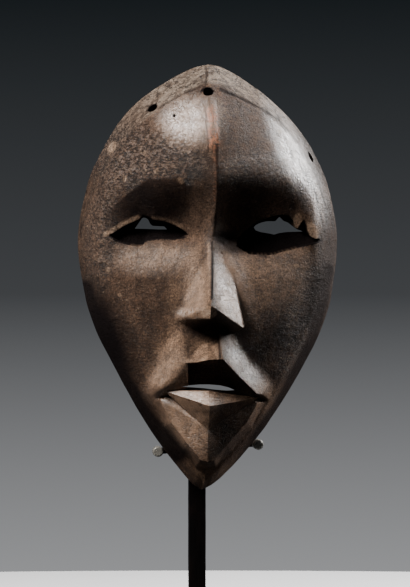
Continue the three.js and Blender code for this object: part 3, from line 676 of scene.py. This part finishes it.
finishSpots = {
    # worn: worn wood, and painted light: paler on the planes turned to the lamps, with painted highlights
    # on the nose's right plane and tip
    "wornAndLit": [((-9.5, 113), (7, 19), -2, 0.9), ((-3.3, 79), (8, 8), 0, 0.9),
        ((-24, 72), (8, 22), -20, 0.75), ((-21, 62), (9, 8), 40, 0.75), ((-14, 37), (13, 17), 28, 1.0),
        ((30, 118), (24, 18), -12, 0.7), ((18, 100), (10, 20), 10, 0.4), ((-18, 108), (6, 24), -6, 0.45),
        ((46, 128), (12, 7), 10, 0.5), ((-30, 128), (22, 8), 0, 0.6), ((-4, 10), (9, 9), 0, 0.5),
        ((-9, 99), (9, 3.6), 0, 0.9), ((24, 47), (16, 10), 30, 0.35), ((55, 150), (7, 12), 0, 0.4),
        ((-8, 152), (9, 14), 0, 0.3), ((-12, 203), (15, 13), 8, 0.7), ((-24, 66), (9, 13), -30, 0.95),
        ((-14, 53), (17, 5), -8, 0.9), ((14, 53), (12, 4), 6, 0.6), ((11, 112), (9, 26), 12, 0.9)],
    "chip": [((-2.4, 98.5), (4.2, 3.4), 0, 0.9), ((-53.5, 189.5), (2.0, 3.4), -25, 0.8),
        ((47.8, 148.5), (2.4, 4.6), -6, 0.9), ((56.2, 143.5), (2.6, 5.0), 24, 0.9),
        ((-5, 72.2), (3, 1.6), 0, 0.6), ((-36, 186), (1.2, 0.8), 0, 0.7),
        ((-47, 172), (1.0, 1.4), 0, 0.7), ((-30, 176), (1.3, 0.8), 20, 0.7),
        ((-17, 170.5), (2.2, 1.3), -40, 0.8), ((-56, 122), (1.0, 1.6), 0, 0.6),
        ((-50, 108), (1.0, 1.0), 0, 0.6), ((47, 124), (1.5, 1.1), 0, 0.6),
        ((38, 198), (1.2, 0.8), 0, 0.5), ((2.5, 1.8), (2, 2.4), 0, 0.5)],
    "polish": [((-12, 204), (15, 13), 12, 1.0), ((48, 182), (8, 30), 24, 1.0),
        ((10, 112), (9, 28), 12, 1.0), ((17, 74), (9, 16), 30, 0.9), ((-10, 113), (6, 18), 0, 0.4),
        ((-16, 52), (17, 6), -8, 1.0), ((-32, 128), (22, 8), 0, 0.45), ((-24, 66), (8, 12), -30, 0.4),
        ((-14, 37), (10, 14), 28, 0.75), ((-11, 98.5), (8, 3), 0, 0.9)],
    # dark spots: darker wood, and painted shade in the sockets, beside and under the nose, on the right
    # chin, along the jaw and at the right temple
    "darkAndShade": [((30, 158), (30, 13), -6, 0.2), ((-30, 159), (20, 8), 6, 0.3),
        ((-57, 84), (11, 36), 22, 1.0), ((-37, 44), (7, 26), 36, 0.85), ((14, 34), (16, 18), -30, 0.4),
        ((0, 89), (14, 6), 0, 0.9), ((61, 108), (9, 26), -10, 0.85), ((13, 135), (10, 5), 0, 0.9),
        ((7.5, 138.5), (8, 5), -15, 0.95), ((-8, 152), (9, 12), 0, 0.5), ((68, 140), (6, 22), 4, 0.65),
        ((60, 186), (8, 24), 28, 0.6), ((24, 196), (20, 18), 0, 0.2)],
}
finishLines = {
    "wornAndLit": [([(-52, 132), (-34, 131), (-20, 131)], 7, 0.35),
        ([(-1.5, 136), (-1.9, 120), (-2.5, 105)], 1.2, 1.0)],
    # the first chip line, along the left eye's upper lid, is pale raw wood and a painted highlight where
    # the lid's cut face catches light
    "chip": [([(-57.5, 141.4), (-53, 144), (-48.6, 146.9), (-43.6, 149.2), (-40, 150.6)], 2.4, 0.85),
        ([(-31.8, 150.4), (-25.4, 149.6), (-20.8, 147.9), (-16.4, 145.8)], 1.7, 0.5),
        ([(-15.9, 71.7), (4.6, 72.7)], 2.2, 0.4)],
    # dark lines: cracks, cut lines and a groove by the nose ridge, with painted shade under the right eye
    # and beside the keel, and broad darkening along both sides of the jaw
    "darkAndShade": [(reliefLines["crack"][0], 1.5, 1.0),
        ([(38, 205), (49, 192), (58, 176), (64, 158)], 1.2, 0.7), ([(49, 190), (52, 183)], 1.3, 0.75),
        ([(50, 178), (54, 171)], 1.5, 0.7), ([(57, 167), (59.5, 159)], 1.4, 0.7),
        ([(44, 187), (45.5, 180)], 1.0, 0.6), ([(8, 137), (17, 133.5), (30, 129.5)], 3, 0.6),
        ([(61, 152), (63.5, 143)], 1.6, 0.7), ([(2.6, 190), (2.4, 165), (1.6, 141)], 1.5, 0.75),
        ([(-3.1, 209), (-2.6, 196), (-2.2, 186)], 0.8, 0.6),
        ([(-6, 222), (-14, 219), (-24, 214)], 0.6, 0.6), (reliefLines["step"][0], 1.3, 0.95),
        ([(0.3, 137), (-0.1, 120), (-0.7, 106)], 1.3, 1.0),
        ([(66, 122), (57, 82), (40, 47), (20, 19)], 10, 0.9),
        ([(-68, 112), (-58, 80), (-38, 46), (-17, 20)], 10, 0.95),
        ([(-1.5, 235), (-1.0, 230), (-2.4, 225)], 1.0, 0.7),
        ([(-14, 226), (-8, 224.5), (-3, 222.5)], 0.8, 0.6),
        ([(3, 224), (9, 223), (14, 219.5)], 0.9, 0.6)],
    "pigment": [([(0.9, 191), (0.6, 201), (0.1, 209)], 5.8, 1.0),
        ([(1.8, 160), (1.8, 176), (0.6, 192)], 2.0, 0.25)],
}
spotSoftness = {"wornAndLit": 0.6, "chip": 0.15, "polish": 0.6, "darkAndShade": 0.6, "pigment": 0.6}


def paintedShare(name, x, z):
    share = np.zeros(len(x))
    for *oval, strength in finishSpots.get(name, []):
        share = np.maximum(share, strength * patch(x, z, *oval, spotSoftness[name]))
    for points, width, strength in finishLines.get(name, []):
        share = np.maximum(share, strength * stroke(x, z, points, width, 0.5))
    return share


def edgeShares(mesh, points, normals):
    # how far each point stands out from its neighbours, or lies between them
    edges = np.zeros(len(mesh.edges) * 2, int)
    mesh.edges.foreach_get("vertices", edges)
    a, b = edges.reshape(-1, 2).T
    run = points[b] - points[a]
    length = np.maximum(np.linalg.norm(run, axis=1), 1e-6)
    bend, count = np.zeros(len(points)), np.zeros(len(points))
    np.add.at(bend, a, -(normals[a] * run).sum(1) / length)
    np.add.at(bend, b, (normals[b] * run).sum(1) / length)
    np.add.at(count, a, 1)
    np.add.at(count, b, 1)
    bend /= np.maximum(count, 1)
    for _ in range(2):
        total = np.zeros(len(points))
        np.add.at(total, a, bend[b])
        np.add.at(total, b, bend[a])
        bend = 0.5 * bend + 0.5 * total / np.maximum(count, 1)
    return smooth(bend, 0.03, 0.22), smooth(-bend, 0.03, 0.22)


def holeShare(x, z, d):
    # painted shade down the drilled holes
    share = np.zeros(len(x))
    for (hx, hz), radius, sideways, upward in holeFacts.values():
        depth = float(carvedDepth(np.array(hx), np.array(hz)))
        hx, hz = (float(v) for v in stray(np.array(hx), np.array(hz)))
        down = d - depth
        away = np.hypot(x - hx - down * math.tan(sideways), z - hz - down * math.tan(upward))
        share = np.maximum(share, smooth(away, radius * 1.5, radius * 1.2) * smooth(-down, -0.3, 0.9))
    return share


def eyeShare(x, z, d):
    # the eyes' pockets: blackened wood and painted shade
    share = np.zeros(len(x))
    for facts in eyeCuts.values():
        share = np.maximum(share, insideLoop(x, z, eyeLoop(**facts["front"])) * smooth(d, 30, 33))
    return share


def readPoints(values, name, count):
    numbers = np.zeros(count * 3)
    values.foreach_get(name, numbers)
    return numbers.reshape(-1, 3)


def paintMask(mask):
    mesh = mask.data
    points = readPoints(mesh.vertices, "co", len(mesh.vertices)) * 1000
    normals = readPoints(mesh.vertex_normals, "vector", len(mesh.vertices))
    x, z, d = points[:, 0], points[:, 2] - maskPlace["chin"], maskPlace["rimPlane"] - points[:, 1]
    share, inside = placeOf(x, z)
    front = smooth(d - faceDepth(x, z), -4.5, -2)
    out, deepIn = edgeShares(mesh, points, normals)
    # 1 on the sloping side next to the rim, 0 on the face
    band = smooth(hollowedDepth(x, z, share) - maskShape["rimBulge"] * deep
                  - np.maximum(inside, 0) * shapeCurves["sideSlope"](z / tall), -1, 2)
    # painted shade in the left eye's smooth socket, below the crust's broken line
    socket = 0.8 * (1 - aboveSocket(x, z)) * patch(x, z, (-33, 160), (27, 16), 4, 0.5)
    # painted shade along the crease where the rim's sloping band meets the face, broken by noise
    crease = 3.2 * band * (1 - band) * smooth(noise(x, z, 4.0, 53, 3), -0.25, 0.3) * smooth(z, 150, 190)
    painted = {name: paintedShare(name, x, z) for name in spotSoftness}
    shares = {name: value * front for name, value in painted.items()}
    # dark wood, and painted shade: in the left socket, along the band's crease, in hollows, down the
    # drilled holes and in the eye pockets
    darkAndShadeParts = [shares["darkAndShade"], socket * front, crease * front, smooth(deepIn, 0.3, 1) * 0.7,
             holeShare(x, z, d), eyeShare(x, z, d)]
    shares["darkAndShade"] = np.maximum.reduce(darkAndShadeParts) * (1 - painted["chip"])
    shares["crust"] = crustShare(x, z) * front
    shares["dust"] = (band * smooth(z, 178, 215) * front * (1 - 0.5 * smooth(x, 6, 50))
                      * (1 - 0.6 * smooth(-x, 26, 46)))
    shares["edge"], shares["back"] = out * front, 1 - front
    for name, value in shares.items():
        layer = mesh.attributes.new(name, "FLOAT", "POINT")
        layer.data.foreach_set("value", value.astype(np.float32))
    print("mask painted with", len(shares), "finishes")


paintMask(mask)


# Materials

class Nodes:
    # short ways to add nodes to one tree

    def __init__(self, tree):
        self.tree = tree

    def feed(self, socket, value):
        if isinstance(value, bpy.types.NodeSocket):
            self.tree.links.new(value, socket)
        else:
            socket.default_value = value

    def add(self, kind, settings=None, **inputs):
        # an input's name is spelled with underscores, or is i and its number
        made = self.tree.nodes.new(kind)
        for key, value in (settings or {}).items():
            setattr(made, key, value)
        for key, value in inputs.items():
            self.feed(made.inputs[int(key[1:]) if key[1:].isdigit() else key.replace("_", " ")], value)
        return made

    def layer(self, name):
        return self.add("ShaderNodeAttribute", {"attribute_name": name}).outputs["Fac"]

    def maths(self, operation, a, b=0.0):
        return self.add("ShaderNodeMath", {"operation": operation}, i0=a, i1=b).outputs[0]

    def times(self, a, b, plus=0.0):
        return self.add("ShaderNodeMath", {"operation": "MULTIPLY_ADD"}, i0=a, i1=b, i2=plus).outputs[0]

    def span(self, value, low, high, start=0.0, end=1.0):
        return self.add("ShaderNodeMapRange", {"interpolation_type": "SMOOTHSTEP"}, Value=value,
                        From_Min=low, From_Max=high, To_Min=start, To_Max=end).outputs[0]

    def blend(self, share, under, over):
        return self.add("ShaderNodeMix", i0=share, i2=under, i3=over).outputs[0]

    def mix(self, share, under, over):
        under, over = ((*value, 1) if isinstance(value, tuple) else value for value in (under, over))
        return self.add("ShaderNodeMix", {"data_type": "RGBA"}, i0=share, i6=under, i7=over).outputs[2]

    def grain(self, size, stretch=(1, 1, 1), detail=4.0, rough=0.6, seed=0.0):
        # a noise of one feature size in millimetres, on the piece's own coordinates
        place = self.add("ShaderNodeTexCoord").outputs["Object"]
        shift = (seed, seed * 0.7, seed * 1.3)
        place = self.add("ShaderNodeMapping", Vector=place, Scale=stretch, Location=shift)
        return self.add("ShaderNodeTexNoise", Vector=place.outputs[0], Scale=1000 / size, Detail=detail,
                        Roughness=rough).outputs["Fac"]

    def bump(self, height, strength, distance):
        return self.add("ShaderNodeBump", Height=height, Strength=strength, Distance=distance).outputs[0]

    def surface(self, **inputs):
        shader = self.tree.nodes["Principled BSDF"]
        for key, value in inputs.items():
            self.feed(shader.inputs[key.replace("_", " ")], value)


def newMaterial(name):
    made = bpy.data.materials.new(name)
    made.use_nodes = True
    return made, Nodes(made.node_tree)


# the worn colour also serves as painted light, and the dark colour as painted shade
woodFacts = {
    "patina": (0.022, 0.0135, 0.0092), "brown": (0.130, 0.074, 0.046), "wornAndLit": (0.28, 0.172, 0.108),
    "dust": (0.23, 0.178, 0.138), "speck": (0.50, 0.37, 0.26), "pigment": (0.27, 0.108, 0.054),
    "chip": (0.34, 0.235, 0.160), "darkAndShade": (0.008, 0.006, 0.006), "back": (0.085, 0.053, 0.034),
    "roughness": 0.50, "polished": 0.24, "crusted": 0.50, "sawn": 0.75, "dull": 0.10, "glossy": 1.0,
}


def darkWood():
    made, tree = newMaterial("darkWood")
    broad = tree.span(tree.grain(34, (1, 1, 0.7), 3), 0.36, 0.66)
    mottle = tree.span(tree.grain(5.5, (1, 1, 0.8), 5, 0.65, 3), 0.34, 0.68)
    streak = tree.span(tree.grain(1.5, (1, 1, 0.09), 4, 0.7, 7), 0.36, 0.66)
    fine = tree.grain(0.9, (1, 1, 0.8), 4, 0.75, 11)
    crust, dust, chip, darkAndShade, back = (tree.layer(name) for name in ("crust", "dust", "chip", "darkAndShade", "back"))
    polish = tree.times(tree.layer("polish"), tree.span(broad, 0.0, 1.0, 0.75, 1.0))
    # the finest texture is calmer where the wood is polished, and clings where it is crusted
    calm = tree.times(polish, -0.6, 1.0)
    clings = tree.times(tree.times(crust, 0.75, 0.25), calm)
    speck = tree.times(clings, tree.span(tree.grain(1.6, (0.7, 1, 1.5), 5, 0.75, 19), 0.55, 0.68))
    pits = tree.times(clings, tree.span(tree.grain(1.9, (0.8, 1, 1.7), 5, 0.75, 23), 0.52, 0.40))
    fleck = tree.times(tree.span(tree.grain(1.0, (0.8, 1, 1.2), 5, 0.8, 47), 0.60, 0.70), calm)
    lines = tree.maths("ABSOLUTE", tree.maths("SUBTRACT", tree.grain(13, (1, 1, 1.6), 5, 0.6, 41), 0.5))
    crack = tree.times(tree.span(lines, 0.018, 0.004), tree.times(dust, 0.6, 0.2))
    flake = tree.span(tree.grain(2.8, (1, 1, 0.6), 5, 0.75, 31), 0.45, 0.51)

    brown = tree.times(broad, 0.45, tree.times(mottle, 0.55))
    colour = tree.mix(brown, woodFacts["patina"], woodFacts["brown"])
    # each coat lies over the ones before it
    coats = [
        (tree.times(streak, 0.35), "patina"),
        # the worn coat: worn wood, and painted light on the planes turned to the lamps
        (tree.times(tree.layer("wornAndLit"), tree.span(mottle, 0.0, 0.8, 0.55, 1.0)), "wornAndLit"),
        (tree.times(tree.layer("edge"), tree.span(mottle, 0.2, 0.9, 0.15, 0.75)), "wornAndLit"),
        (back, tree.mix(streak, woodFacts["back"], woodFacts["brown"])),
        (tree.times(dust, tree.span(mottle, 0.0, 0.8, 0.35, 1.0)), "dust"),
        (tree.times(speck, 0.8), "speck"),
        (tree.times(fleck, 0.35), "speck"),
        (tree.times(pits, 0.9), "darkAndShade"),
        (crack, "darkAndShade"),
        (tree.times(tree.layer("pigment"), flake), "pigment"),
        (chip, tree.mix(streak, woodFacts["chip"], woodFacts["wornAndLit"])),
        # the dark coat: dark wood, and painted shade in sockets, hollows, holes and eye pockets
        (darkAndShade, "darkAndShade"),
        (tree.times(tree.span(fine, 0.40, 0.62), tree.times(calm, 0.6)), "darkAndShade"),
    ]
    for share, coat in coats:
        colour = tree.mix(share, colour, woodFacts[coat] if isinstance(coat, str) else coat)

    rough = tree.blend(polish, tree.times(mottle, 0.12, woodFacts["roughness"] - 0.06),
                       tree.times(mottle, 0.14, woodFacts["polished"] - 0.05))
    rough = tree.blend(back, tree.blend(crust, rough, woodFacts["crusted"]), woodFacts["sawn"])
    gloss = tree.times(crust, 0.22, tree.blend(polish, woodFacts["dull"], woodFacts["glossy"]))
    height = tree.times(pits, -0.6, tree.times(speck, 0.6, tree.times(fine, 0.55)))
    height = tree.times(height, calm, tree.times(streak, 0.05, tree.times(mottle, 0.24)))
    height = tree.times(crack, -0.5, height)
    tree.surface(Base_Color=colour, Roughness=tree.times(chip, 0.2, rough),
                 Specular_IOR_Level=tree.times(gloss, tree.times(darkAndShade, -0.9, 1.0)),
                 Normal=tree.bump(height, 0.9, 0.0010))
    return made


metalFacts = {"colour": (0.005, 0.0034, 0.0034), "warm": (0.014, 0.0075, 0.006), "roughness": 0.36,
              "metal": 0.75}


def darkMetal():
    made, tree = newMaterial("darkMetal")
    blotch = tree.span(tree.grain(9, (1, 1, 0.6), 4, 0.6, 2), 0.42, 0.68)
    drawn = tree.grain(0.8, (1, 1, 0.06), 3, 0.6, 5)
    tree.surface(Base_Color=tree.mix(tree.times(blotch, 0.6), metalFacts["colour"], metalFacts["warm"]),
                 Roughness=tree.times(drawn, 0.2, metalFacts["roughness"] - 0.1),
                 Metallic=metalFacts["metal"], Normal=tree.bump(drawn, 0.25, 0.0002))
    return made


sleeveFacts = {"colour": (0.30, 0.29, 0.26), "milky": (0.15, 0.14, 0.12), "through": 0.45,
               "roughness": 0.30, "bending": 1.45}


def clearSleeve():
    made, tree = newMaterial("clearSleeve")
    cloud = tree.span(tree.grain(2.5, (1, 1, 1), 3, 0.6, 4), 0.35, 0.7)
    tree.surface(Base_Color=tree.mix(cloud, sleeveFacts["colour"], sleeveFacts["milky"]),
                 Roughness=tree.times(cloud, 0.16, sleeveFacts["roughness"] - 0.08),
                 Transmission_Weight=sleeveFacts["through"], IOR=sleeveFacts["bending"])
    return made


blockFacts = {"colour": (0.010, 0.0095, 0.009), "sheen": (0.022, 0.020, 0.018), "roughness": 0.36}


def blackBlock():
    made, tree = newMaterial("blackBlock")
    streak = tree.span(tree.grain(2.2, (0.08, 1, 1), 4, 0.6, 6), 0.4, 0.65)
    pore = tree.grain(0.7, (0.3, 1, 1), 3, 0.6, 8)
    tree.surface(Base_Color=tree.mix(streak, blockFacts["colour"], blockFacts["sheen"]),
                 Roughness=tree.times(pore, 0.16, blockFacts["roughness"] - 0.08),
                 Normal=tree.bump(tree.maths("ADD", streak, pore), 0.12, 0.0002))
    return made


def finished(piece, material, slotName, *nodes):
    piece.data.materials.clear()
    piece.data.materials.append(material)
    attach(piece, "root")
    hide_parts(*nodes)


finished(smoothed(mask, 24), darkWood(), "dark_wood", "mask")


# The stand: a square bar, a wire cradle with two prongs, and a wire arm behind the mask

standFacts = {
    "barSide": 9.5, "barEdge": 0.8, "barShift": -5.0, "barTop": 34.22, "barFoot": -82.0, "behindRim": -6.75,
    "wireRadius": 1.8, "wireSides": 24, "sleeveEnd": 1.2, "sleeveLength": 12.0, "gap": 0.3,
    "sleeveWall": 0.8, "armAside": -0.33,
    # lumps of braze: half width, half height and thickness over the width
    "cradleBraze": (6.27, 2.6, 0.72), "armBraze": (3.6, 2.4, 1.0),
}


def placed(frameNode):
    # a node's middle across and up, and its front, in the mask's own millimetres
    low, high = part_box(frameNode)
    middle = (low + high) * 500
    return middle[0], middle[2] - maskPlace["chin"], maskPlace["rimPlane"] - low[1] * 1000


def wireTree(material):
    group = bpy.data.node_groups.new("wireAlongPath", "GeometryNodeTree")
    for name, kind in (("Path", "Geometry"), ("Radius", "Float"), ("Sides", "Int")):
        group.interface.new_socket(name, in_out="INPUT", socket_type="NodeSocket" + kind)
    group.interface.new_socket("Wire", in_out="OUTPUT", socket_type="NodeSocketGeometry")
    tree = Nodes(group)
    given = tree.add("NodeGroupInput").outputs
    curve = tree.add("GeometryNodeMeshToCurve", Mesh=given["Path"]).outputs[0]
    ring = tree.add("GeometryNodeCurvePrimitiveCircle", Resolution=given["Sides"],
                    Radius=given["Radius"]).outputs[0]
    swept = tree.add("GeometryNodeCurveToMesh", Curve=curve, Profile_Curve=ring, Fill_Caps=True).outputs[0]
    real = tree.add("GeometryNodeRealizeInstances", Geometry=swept).outputs[0]
    dressed = tree.add("GeometryNodeSetMaterial", Geometry=real, Material=material).outputs[0]
    tree.add("NodeGroupOutput", Wire=dressed)
    return group


def rounded(points, steps=12):
    # a centripetal curve through the points
    points = np.array(points, float)
    ends = [2 * points[0] - points[1], *points, 2 * points[-1] - points[-2]]
    made = []
    for p0, p1, p2, p3 in zip(ends[:-3], ends[1:-2], ends[2:-1], ends[3:]):
        t1 = np.linalg.norm(p1 - p0) ** 0.5
        t2 = t1 + np.linalg.norm(p2 - p1) ** 0.5
        t3 = t2 + np.linalg.norm(p3 - p2) ** 0.5
        for t in np.linspace(t1, t2, steps, endpoint=False):
            a1 = (t1 - t) / t1 * p0 + t / t1 * p1
            a2 = (t2 - t) / (t2 - t1) * p1 + (t - t1) / (t2 - t1) * p2
            a3 = (t3 - t) / (t3 - t2) * p2 + (t - t2) / (t3 - t2) * p3
            b1 = (t2 - t) / t2 * a1 + t / t2 * a2
            b2 = (t3 - t) / (t3 - t1) * a2 + (t - t1) / (t3 - t1) * a3
            made.append((t2 - t) / (t2 - t1) * b1 + (t - t1) / (t2 - t1) * b2)
    return np.array(made + [points[-1]])


def wireOf(name, points, group):
    route = toWorld(rounded(points))
    mesh = bpy.data.meshes.new(name)
    mesh.from_pydata(route.tolist(), [(n, n + 1) for n in range(len(route) - 1)], [])
    wire = bpy.data.objects.new(name, mesh)
    bpy.context.scene.collection.objects.link(wire)
    step = wire.modifiers.new("wire", "NODES")
    step.node_group = group
    sizes = {"Radius": standFacts["wireRadius"] / 1000, "Sides": standFacts["wireSides"]}
    for socket in group.interface.items_tree:
        if socket.name in sizes:
            step[socket.identifier] = sizes[socket.name]
    keepResult(wire)
    outward(wire)
    return wire


def turned(name, profile, place, axis="d", sides=48, squeeze=(1, 1)):
    # a profile of (radius, height) turned about an axis along the depth or upright
    x, z, d = place
    vertices, rings, faces = [], [], []
    for radius, height in profile:
        count = 1 if radius == 0 else sides
        ring = []
        for n in range(count):
            turn = 2 * math.pi * n / sides
            u, v = radius * math.cos(turn) * squeeze[0], radius * math.sin(turn) * squeeze[1]
            ring.append(len(vertices))
            vertices.append((x + u, z + v, d - height) if axis == "d" else (x + u, z + height, d + v))
        rings.append(ring)
    for first, second in zip(rings[:-1], rings[1:]):
        for n in range(sides):
            m = (n + 1) % sides
            around = ((first, n), (first, m), (second, m), (second, n))
            faces.append(list(dict.fromkeys(ring[k % len(ring)] for ring, k in around)))
    return solidFrom(name, vertices, faces)


def squareBar():
    side, edge = standFacts["barSide"] / 2, standFacts["barEdge"]
    outline = []
    for n, (sx, sy) in enumerate([(1, 1), (-1, 1), (-1, -1), (1, -1)]):
        for step in range(5):
            turn = math.radians(90 * n + 22.5 * step)
            outline.append((sx * (side - edge) + edge * math.cos(turn),
                            sy * (side - edge) + edge * math.sin(turn)))
    low, high = standFacts["barFoot"], standFacts["barTop"]
    levels = [(low, 0.94), (low + 0.5, 1.0)]
    levels += [(low + 0.5 + (high - low - 1.3) * n / 24, 1.0) for n in range(1, 25)]
    levels += [(high - 0.3, 0.97), (high, 0.90)]
    count, vertices, faces = len(outline), [], []
    for height, share in levels:
        wave = 0.05 * math.sin(height * 0.21) + 0.04 * math.sin(height * 0.57 + 1)
        x, d = standFacts["barShift"] + wave * 0.5 * share, standFacts["behindRim"]
        vertices += [(x + u * share, height, d + v * share) for u, v in outline]
    for k in range(len(levels) - 1):
        faces += ringFaces(k * count, (k + 1) * count, count)
    faces += [list(range(count)), list(range((len(levels) - 1) * count, len(levels) * count))]
    return solidFrom("standBar", vertices, faces)


def brazeLump(name, place):
    wide, high, squeeze = standFacts[name]
    profile = [(wide * a, high * b) for a, b in ((0, 1), (0.45, 0.86), (0.8, 0.5), (1, 0), (0.8, -0.5),
                                                 (0.45, -0.86), (0, -1))]
    return turned(name, profile, place, "z", 28, (1, squeeze))


def makeStand(material):
    radius, behind = standFacts["wireRadius"], standFacts["behindRim"]
    leftX, leftZ, reach = placed("sleeve_left")
    rightX, rightZ, _ = placed("sleeve_right")
    _, armZ, armReach = placed("sleeve_top")
    back = reach - standFacts["sleeveLength"]
    tip = standFacts["sleeveEnd"] + standFacts["gap"]
    bend, straight = 1.5 * radius, back - 0.5 * radius
    shift, side, top = standFacts["barShift"], standFacts["barSide"], standFacts["barTop"]
    group = wireTree(material)
    middle = (shift, (leftZ + rightZ) / 2, behind)
    cradle = wireOf("cradleWire", [
        (leftX, leftZ, reach - tip), (leftX, leftZ, back), (leftX, leftZ, straight),
        (leftX + bend, leftZ, behind), middle, (rightX - bend, rightZ, behind), (rightX, rightZ, straight),
        (rightX, rightZ, back), (rightX, rightZ, reach - tip)], group)
    aside, armBack = standFacts["armAside"] * half, armReach - standFacts["sleeveLength"]
    arm = wireOf("armWire", [
        (shift, top - side / 3, behind), (0.7 * aside, 0.19 * tall, behind), (aside, 0.26 * tall, behind),
        (aside, 0.45 * tall, behind), (0, 0.62 * tall, behind), (0, armZ - 5 * radius, behind),
        (0, armZ - 0.6 * radius, behind + 4 * radius), (0, armZ, armBack - 2 * radius), (0, armZ, armBack),
        (0, armZ, armReach - tip)], group)
    stand = squareBar()
    stand.name = stand.data.name = "barAndCradle"
    for extra in (cradle, arm, brazeLump("cradleBraze", middle),
                  brazeLump("armBraze", (shift - 1.2, top - 0.8, behind))):
        booleanOf(stand, extra, "UNION")
    print("stand", len(stand.data.polygons), "faces")
    return stand


metal = darkMetal()
finished(smoothed(makeStand(metal), 38), metal, "dark_metal", "bar_and_cradle")


def makeSleeve(name, node):
    # a soft clear cap over a wire's tip, its rolled closed end forward
    x, z, reach = placed(node)
    bore = standFacts["wireRadius"] + standFacts["gap"]
    length, end = standFacts["sleeveLength"], standFacts["sleeveEnd"]
    outer = bore + standFacts["sleeveWall"]
    cap = ((0, 0.12), (0.45, 0.05), (0.72, 0.0), (0.88, 0.12), (0.97, 0.42), (1, 0.9))
    profile = [(outer * share, height) for share, height in cap]
    profile += [(outer - 0.05 * (n % 2), 0.9 + (length - 1.3) * n / 10) for n in range(1, 11)]
    profile += [(outer - 0.12, length - 0.15), ((outer + bore) / 2, length), (bore + 0.1, length - 0.15)]
    profile += [(bore, length - 0.4), (bore, end + 0.5), (bore * 0.8, end + 0.08), (0, end)]
    return smoothed(turned(name, profile, (x, z, reach)))


sleeve = clearSleeve()
for side in ("left", "right", "top"):
    finished(makeSleeve(side + "Sleeve", "sleeve_" + side), sleeve, "clear_sleeve", "sleeve_" + side)
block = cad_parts["block"]
block.data.materials.clear()
block.data.materials.append(blackBlock())
print("stand and sleeves finished")


# Floor, light and camera

studio = {
    "floorSize": 0.75, "floorColour": (0.55, 0.55, 0.56), "floorCloud": (0.60, 0.60, 0.61),
    "floorRoughness": 0.8, "roomLight": (0.055, 0.057, 0.062), "horizon": 0.07, "sensor": 36.0,
    "backTop": (0.008, 0.011, 0.013), "backMiddle": (0.055, 0.058, 0.062), "backFoot": (0.34, 0.345, 0.355),
    "photoHeight": 0.3235, "target": (-0.0024, -0.006, 0.1989), "distance": 2.5,
    "azimuth": -3.0, "elevation": 0.0,
}
lamps = {
    # place, point it looks at, width, height, watts, colour
    "leftKey": ((-0.86, -0.47, 1.13), (0, -0.02, 0.22), 0.6, 0.5, 54, (1.0, 0.965, 0.93)),
    "rightStrip": ((0.87, 0.33, 0.72), (0, -0.02, 0.24), 0.65, 0.5, 48, (1.0, 0.995, 0.985)),
}


def makeFloor():
    count, rings = 96, 12
    vertices, faces = [(0, 0, 0)], []
    for k in range(1, rings + 1):
        reach = studio["floorSize"] * k / rings
        turns = [2 * math.pi * n / count for n in range(count)]
        vertices += [(reach * math.cos(turn), reach * math.sin(turn), 0) for turn in turns]
    faces += [[0, 1 + n, 1 + (n + 1) % count] for n in range(count)]
    for k in range(rings - 1):
        faces += ringFaces(1 + k * count, 1 + (k + 1) * count, count)
    floor = meshFrom("paleFloor", vertices, faces)
    made, tree = newMaterial("paleFloor")
    colour = tree.mix(tree.grain(60, (1, 1, 1), 3), studio["floorColour"], studio["floorCloud"])
    tree.surface(Base_Color=colour, Roughness=studio["floorRoughness"])
    floor.data.materials.append(made)
    floor.visible_diffuse = floor.visible_glossy = False


def makeLamp(name):
    place, aim, width, height, watts, colour = lamps[name]
    light = bpy.data.lights.new(name, "AREA")
    light.shape, light.size, light.size_y = "RECTANGLE", width, height
    light.energy, light.color = watts, colour
    lamp = bpy.data.objects.new(name, light)
    bpy.context.scene.collection.objects.link(lamp)
    lamp.location = place
    lamp.rotation_euler = (Vector(aim) - Vector(place)).to_track_quat("-Z", "Y").to_euler()


def makeWorld():
    world = bpy.data.worlds.new("studio")
    bpy.context.scene.world = world
    world.use_nodes = True
    tree = Nodes(world.node_tree)
    way = tree.add("ShaderNodeTexCoord").outputs["Generated"]
    height = tree.add("ShaderNodeSeparateXYZ", Vector=way).outputs["Z"]
    band = tree.add("ShaderNodeMapRange", Value=height, From_Min=-studio["horizon"],
                    From_Max=studio["horizon"]).outputs[0]
    ramp = tree.add("ShaderNodeValToRGB", Fac=band)
    points = ramp.color_ramp.elements
    points[0].color, points[1].color = (*studio["backFoot"], 1), (*studio["backTop"], 1)
    points.new(0.5).color = (*studio["backMiddle"], 1)
    seen = tree.add("ShaderNodeLightPath").outputs["Is Camera Ray"]
    tree.feed(world.node_tree.nodes["Background"].inputs["Color"],
              tree.mix(seen, studio["roomLight"], ramp.outputs[0]))


def makeCamera():
    azimuth, elevation = math.radians(studio["azimuth"]), math.radians(studio["elevation"])
    target = Vector(studio["target"])
    level = math.cos(elevation)
    away = Vector((math.sin(azimuth) * level, -math.cos(azimuth) * level, math.sin(elevation)))
    lens = bpy.data.cameras.new("camera")
    lens.sensor_width = studio["sensor"]
    lens.lens = studio["sensor"] * studio["distance"] / studio["photoHeight"]
    lens.clip_start, lens.clip_end = 0.05, 50
    camera = bpy.data.objects.new("camera", lens)
    bpy.context.scene.collection.objects.link(camera)
    camera.location = target + away * studio["distance"]
    camera.rotation_euler = (target - camera.location).to_track_quat("-Z", "Y").to_euler()
    bpy.context.scene.camera = camera


makeFloor()
for lampName in lamps:
    makeLamp(lampName)
makeWorld()
makeCamera()
print("floor, light and camera placed")
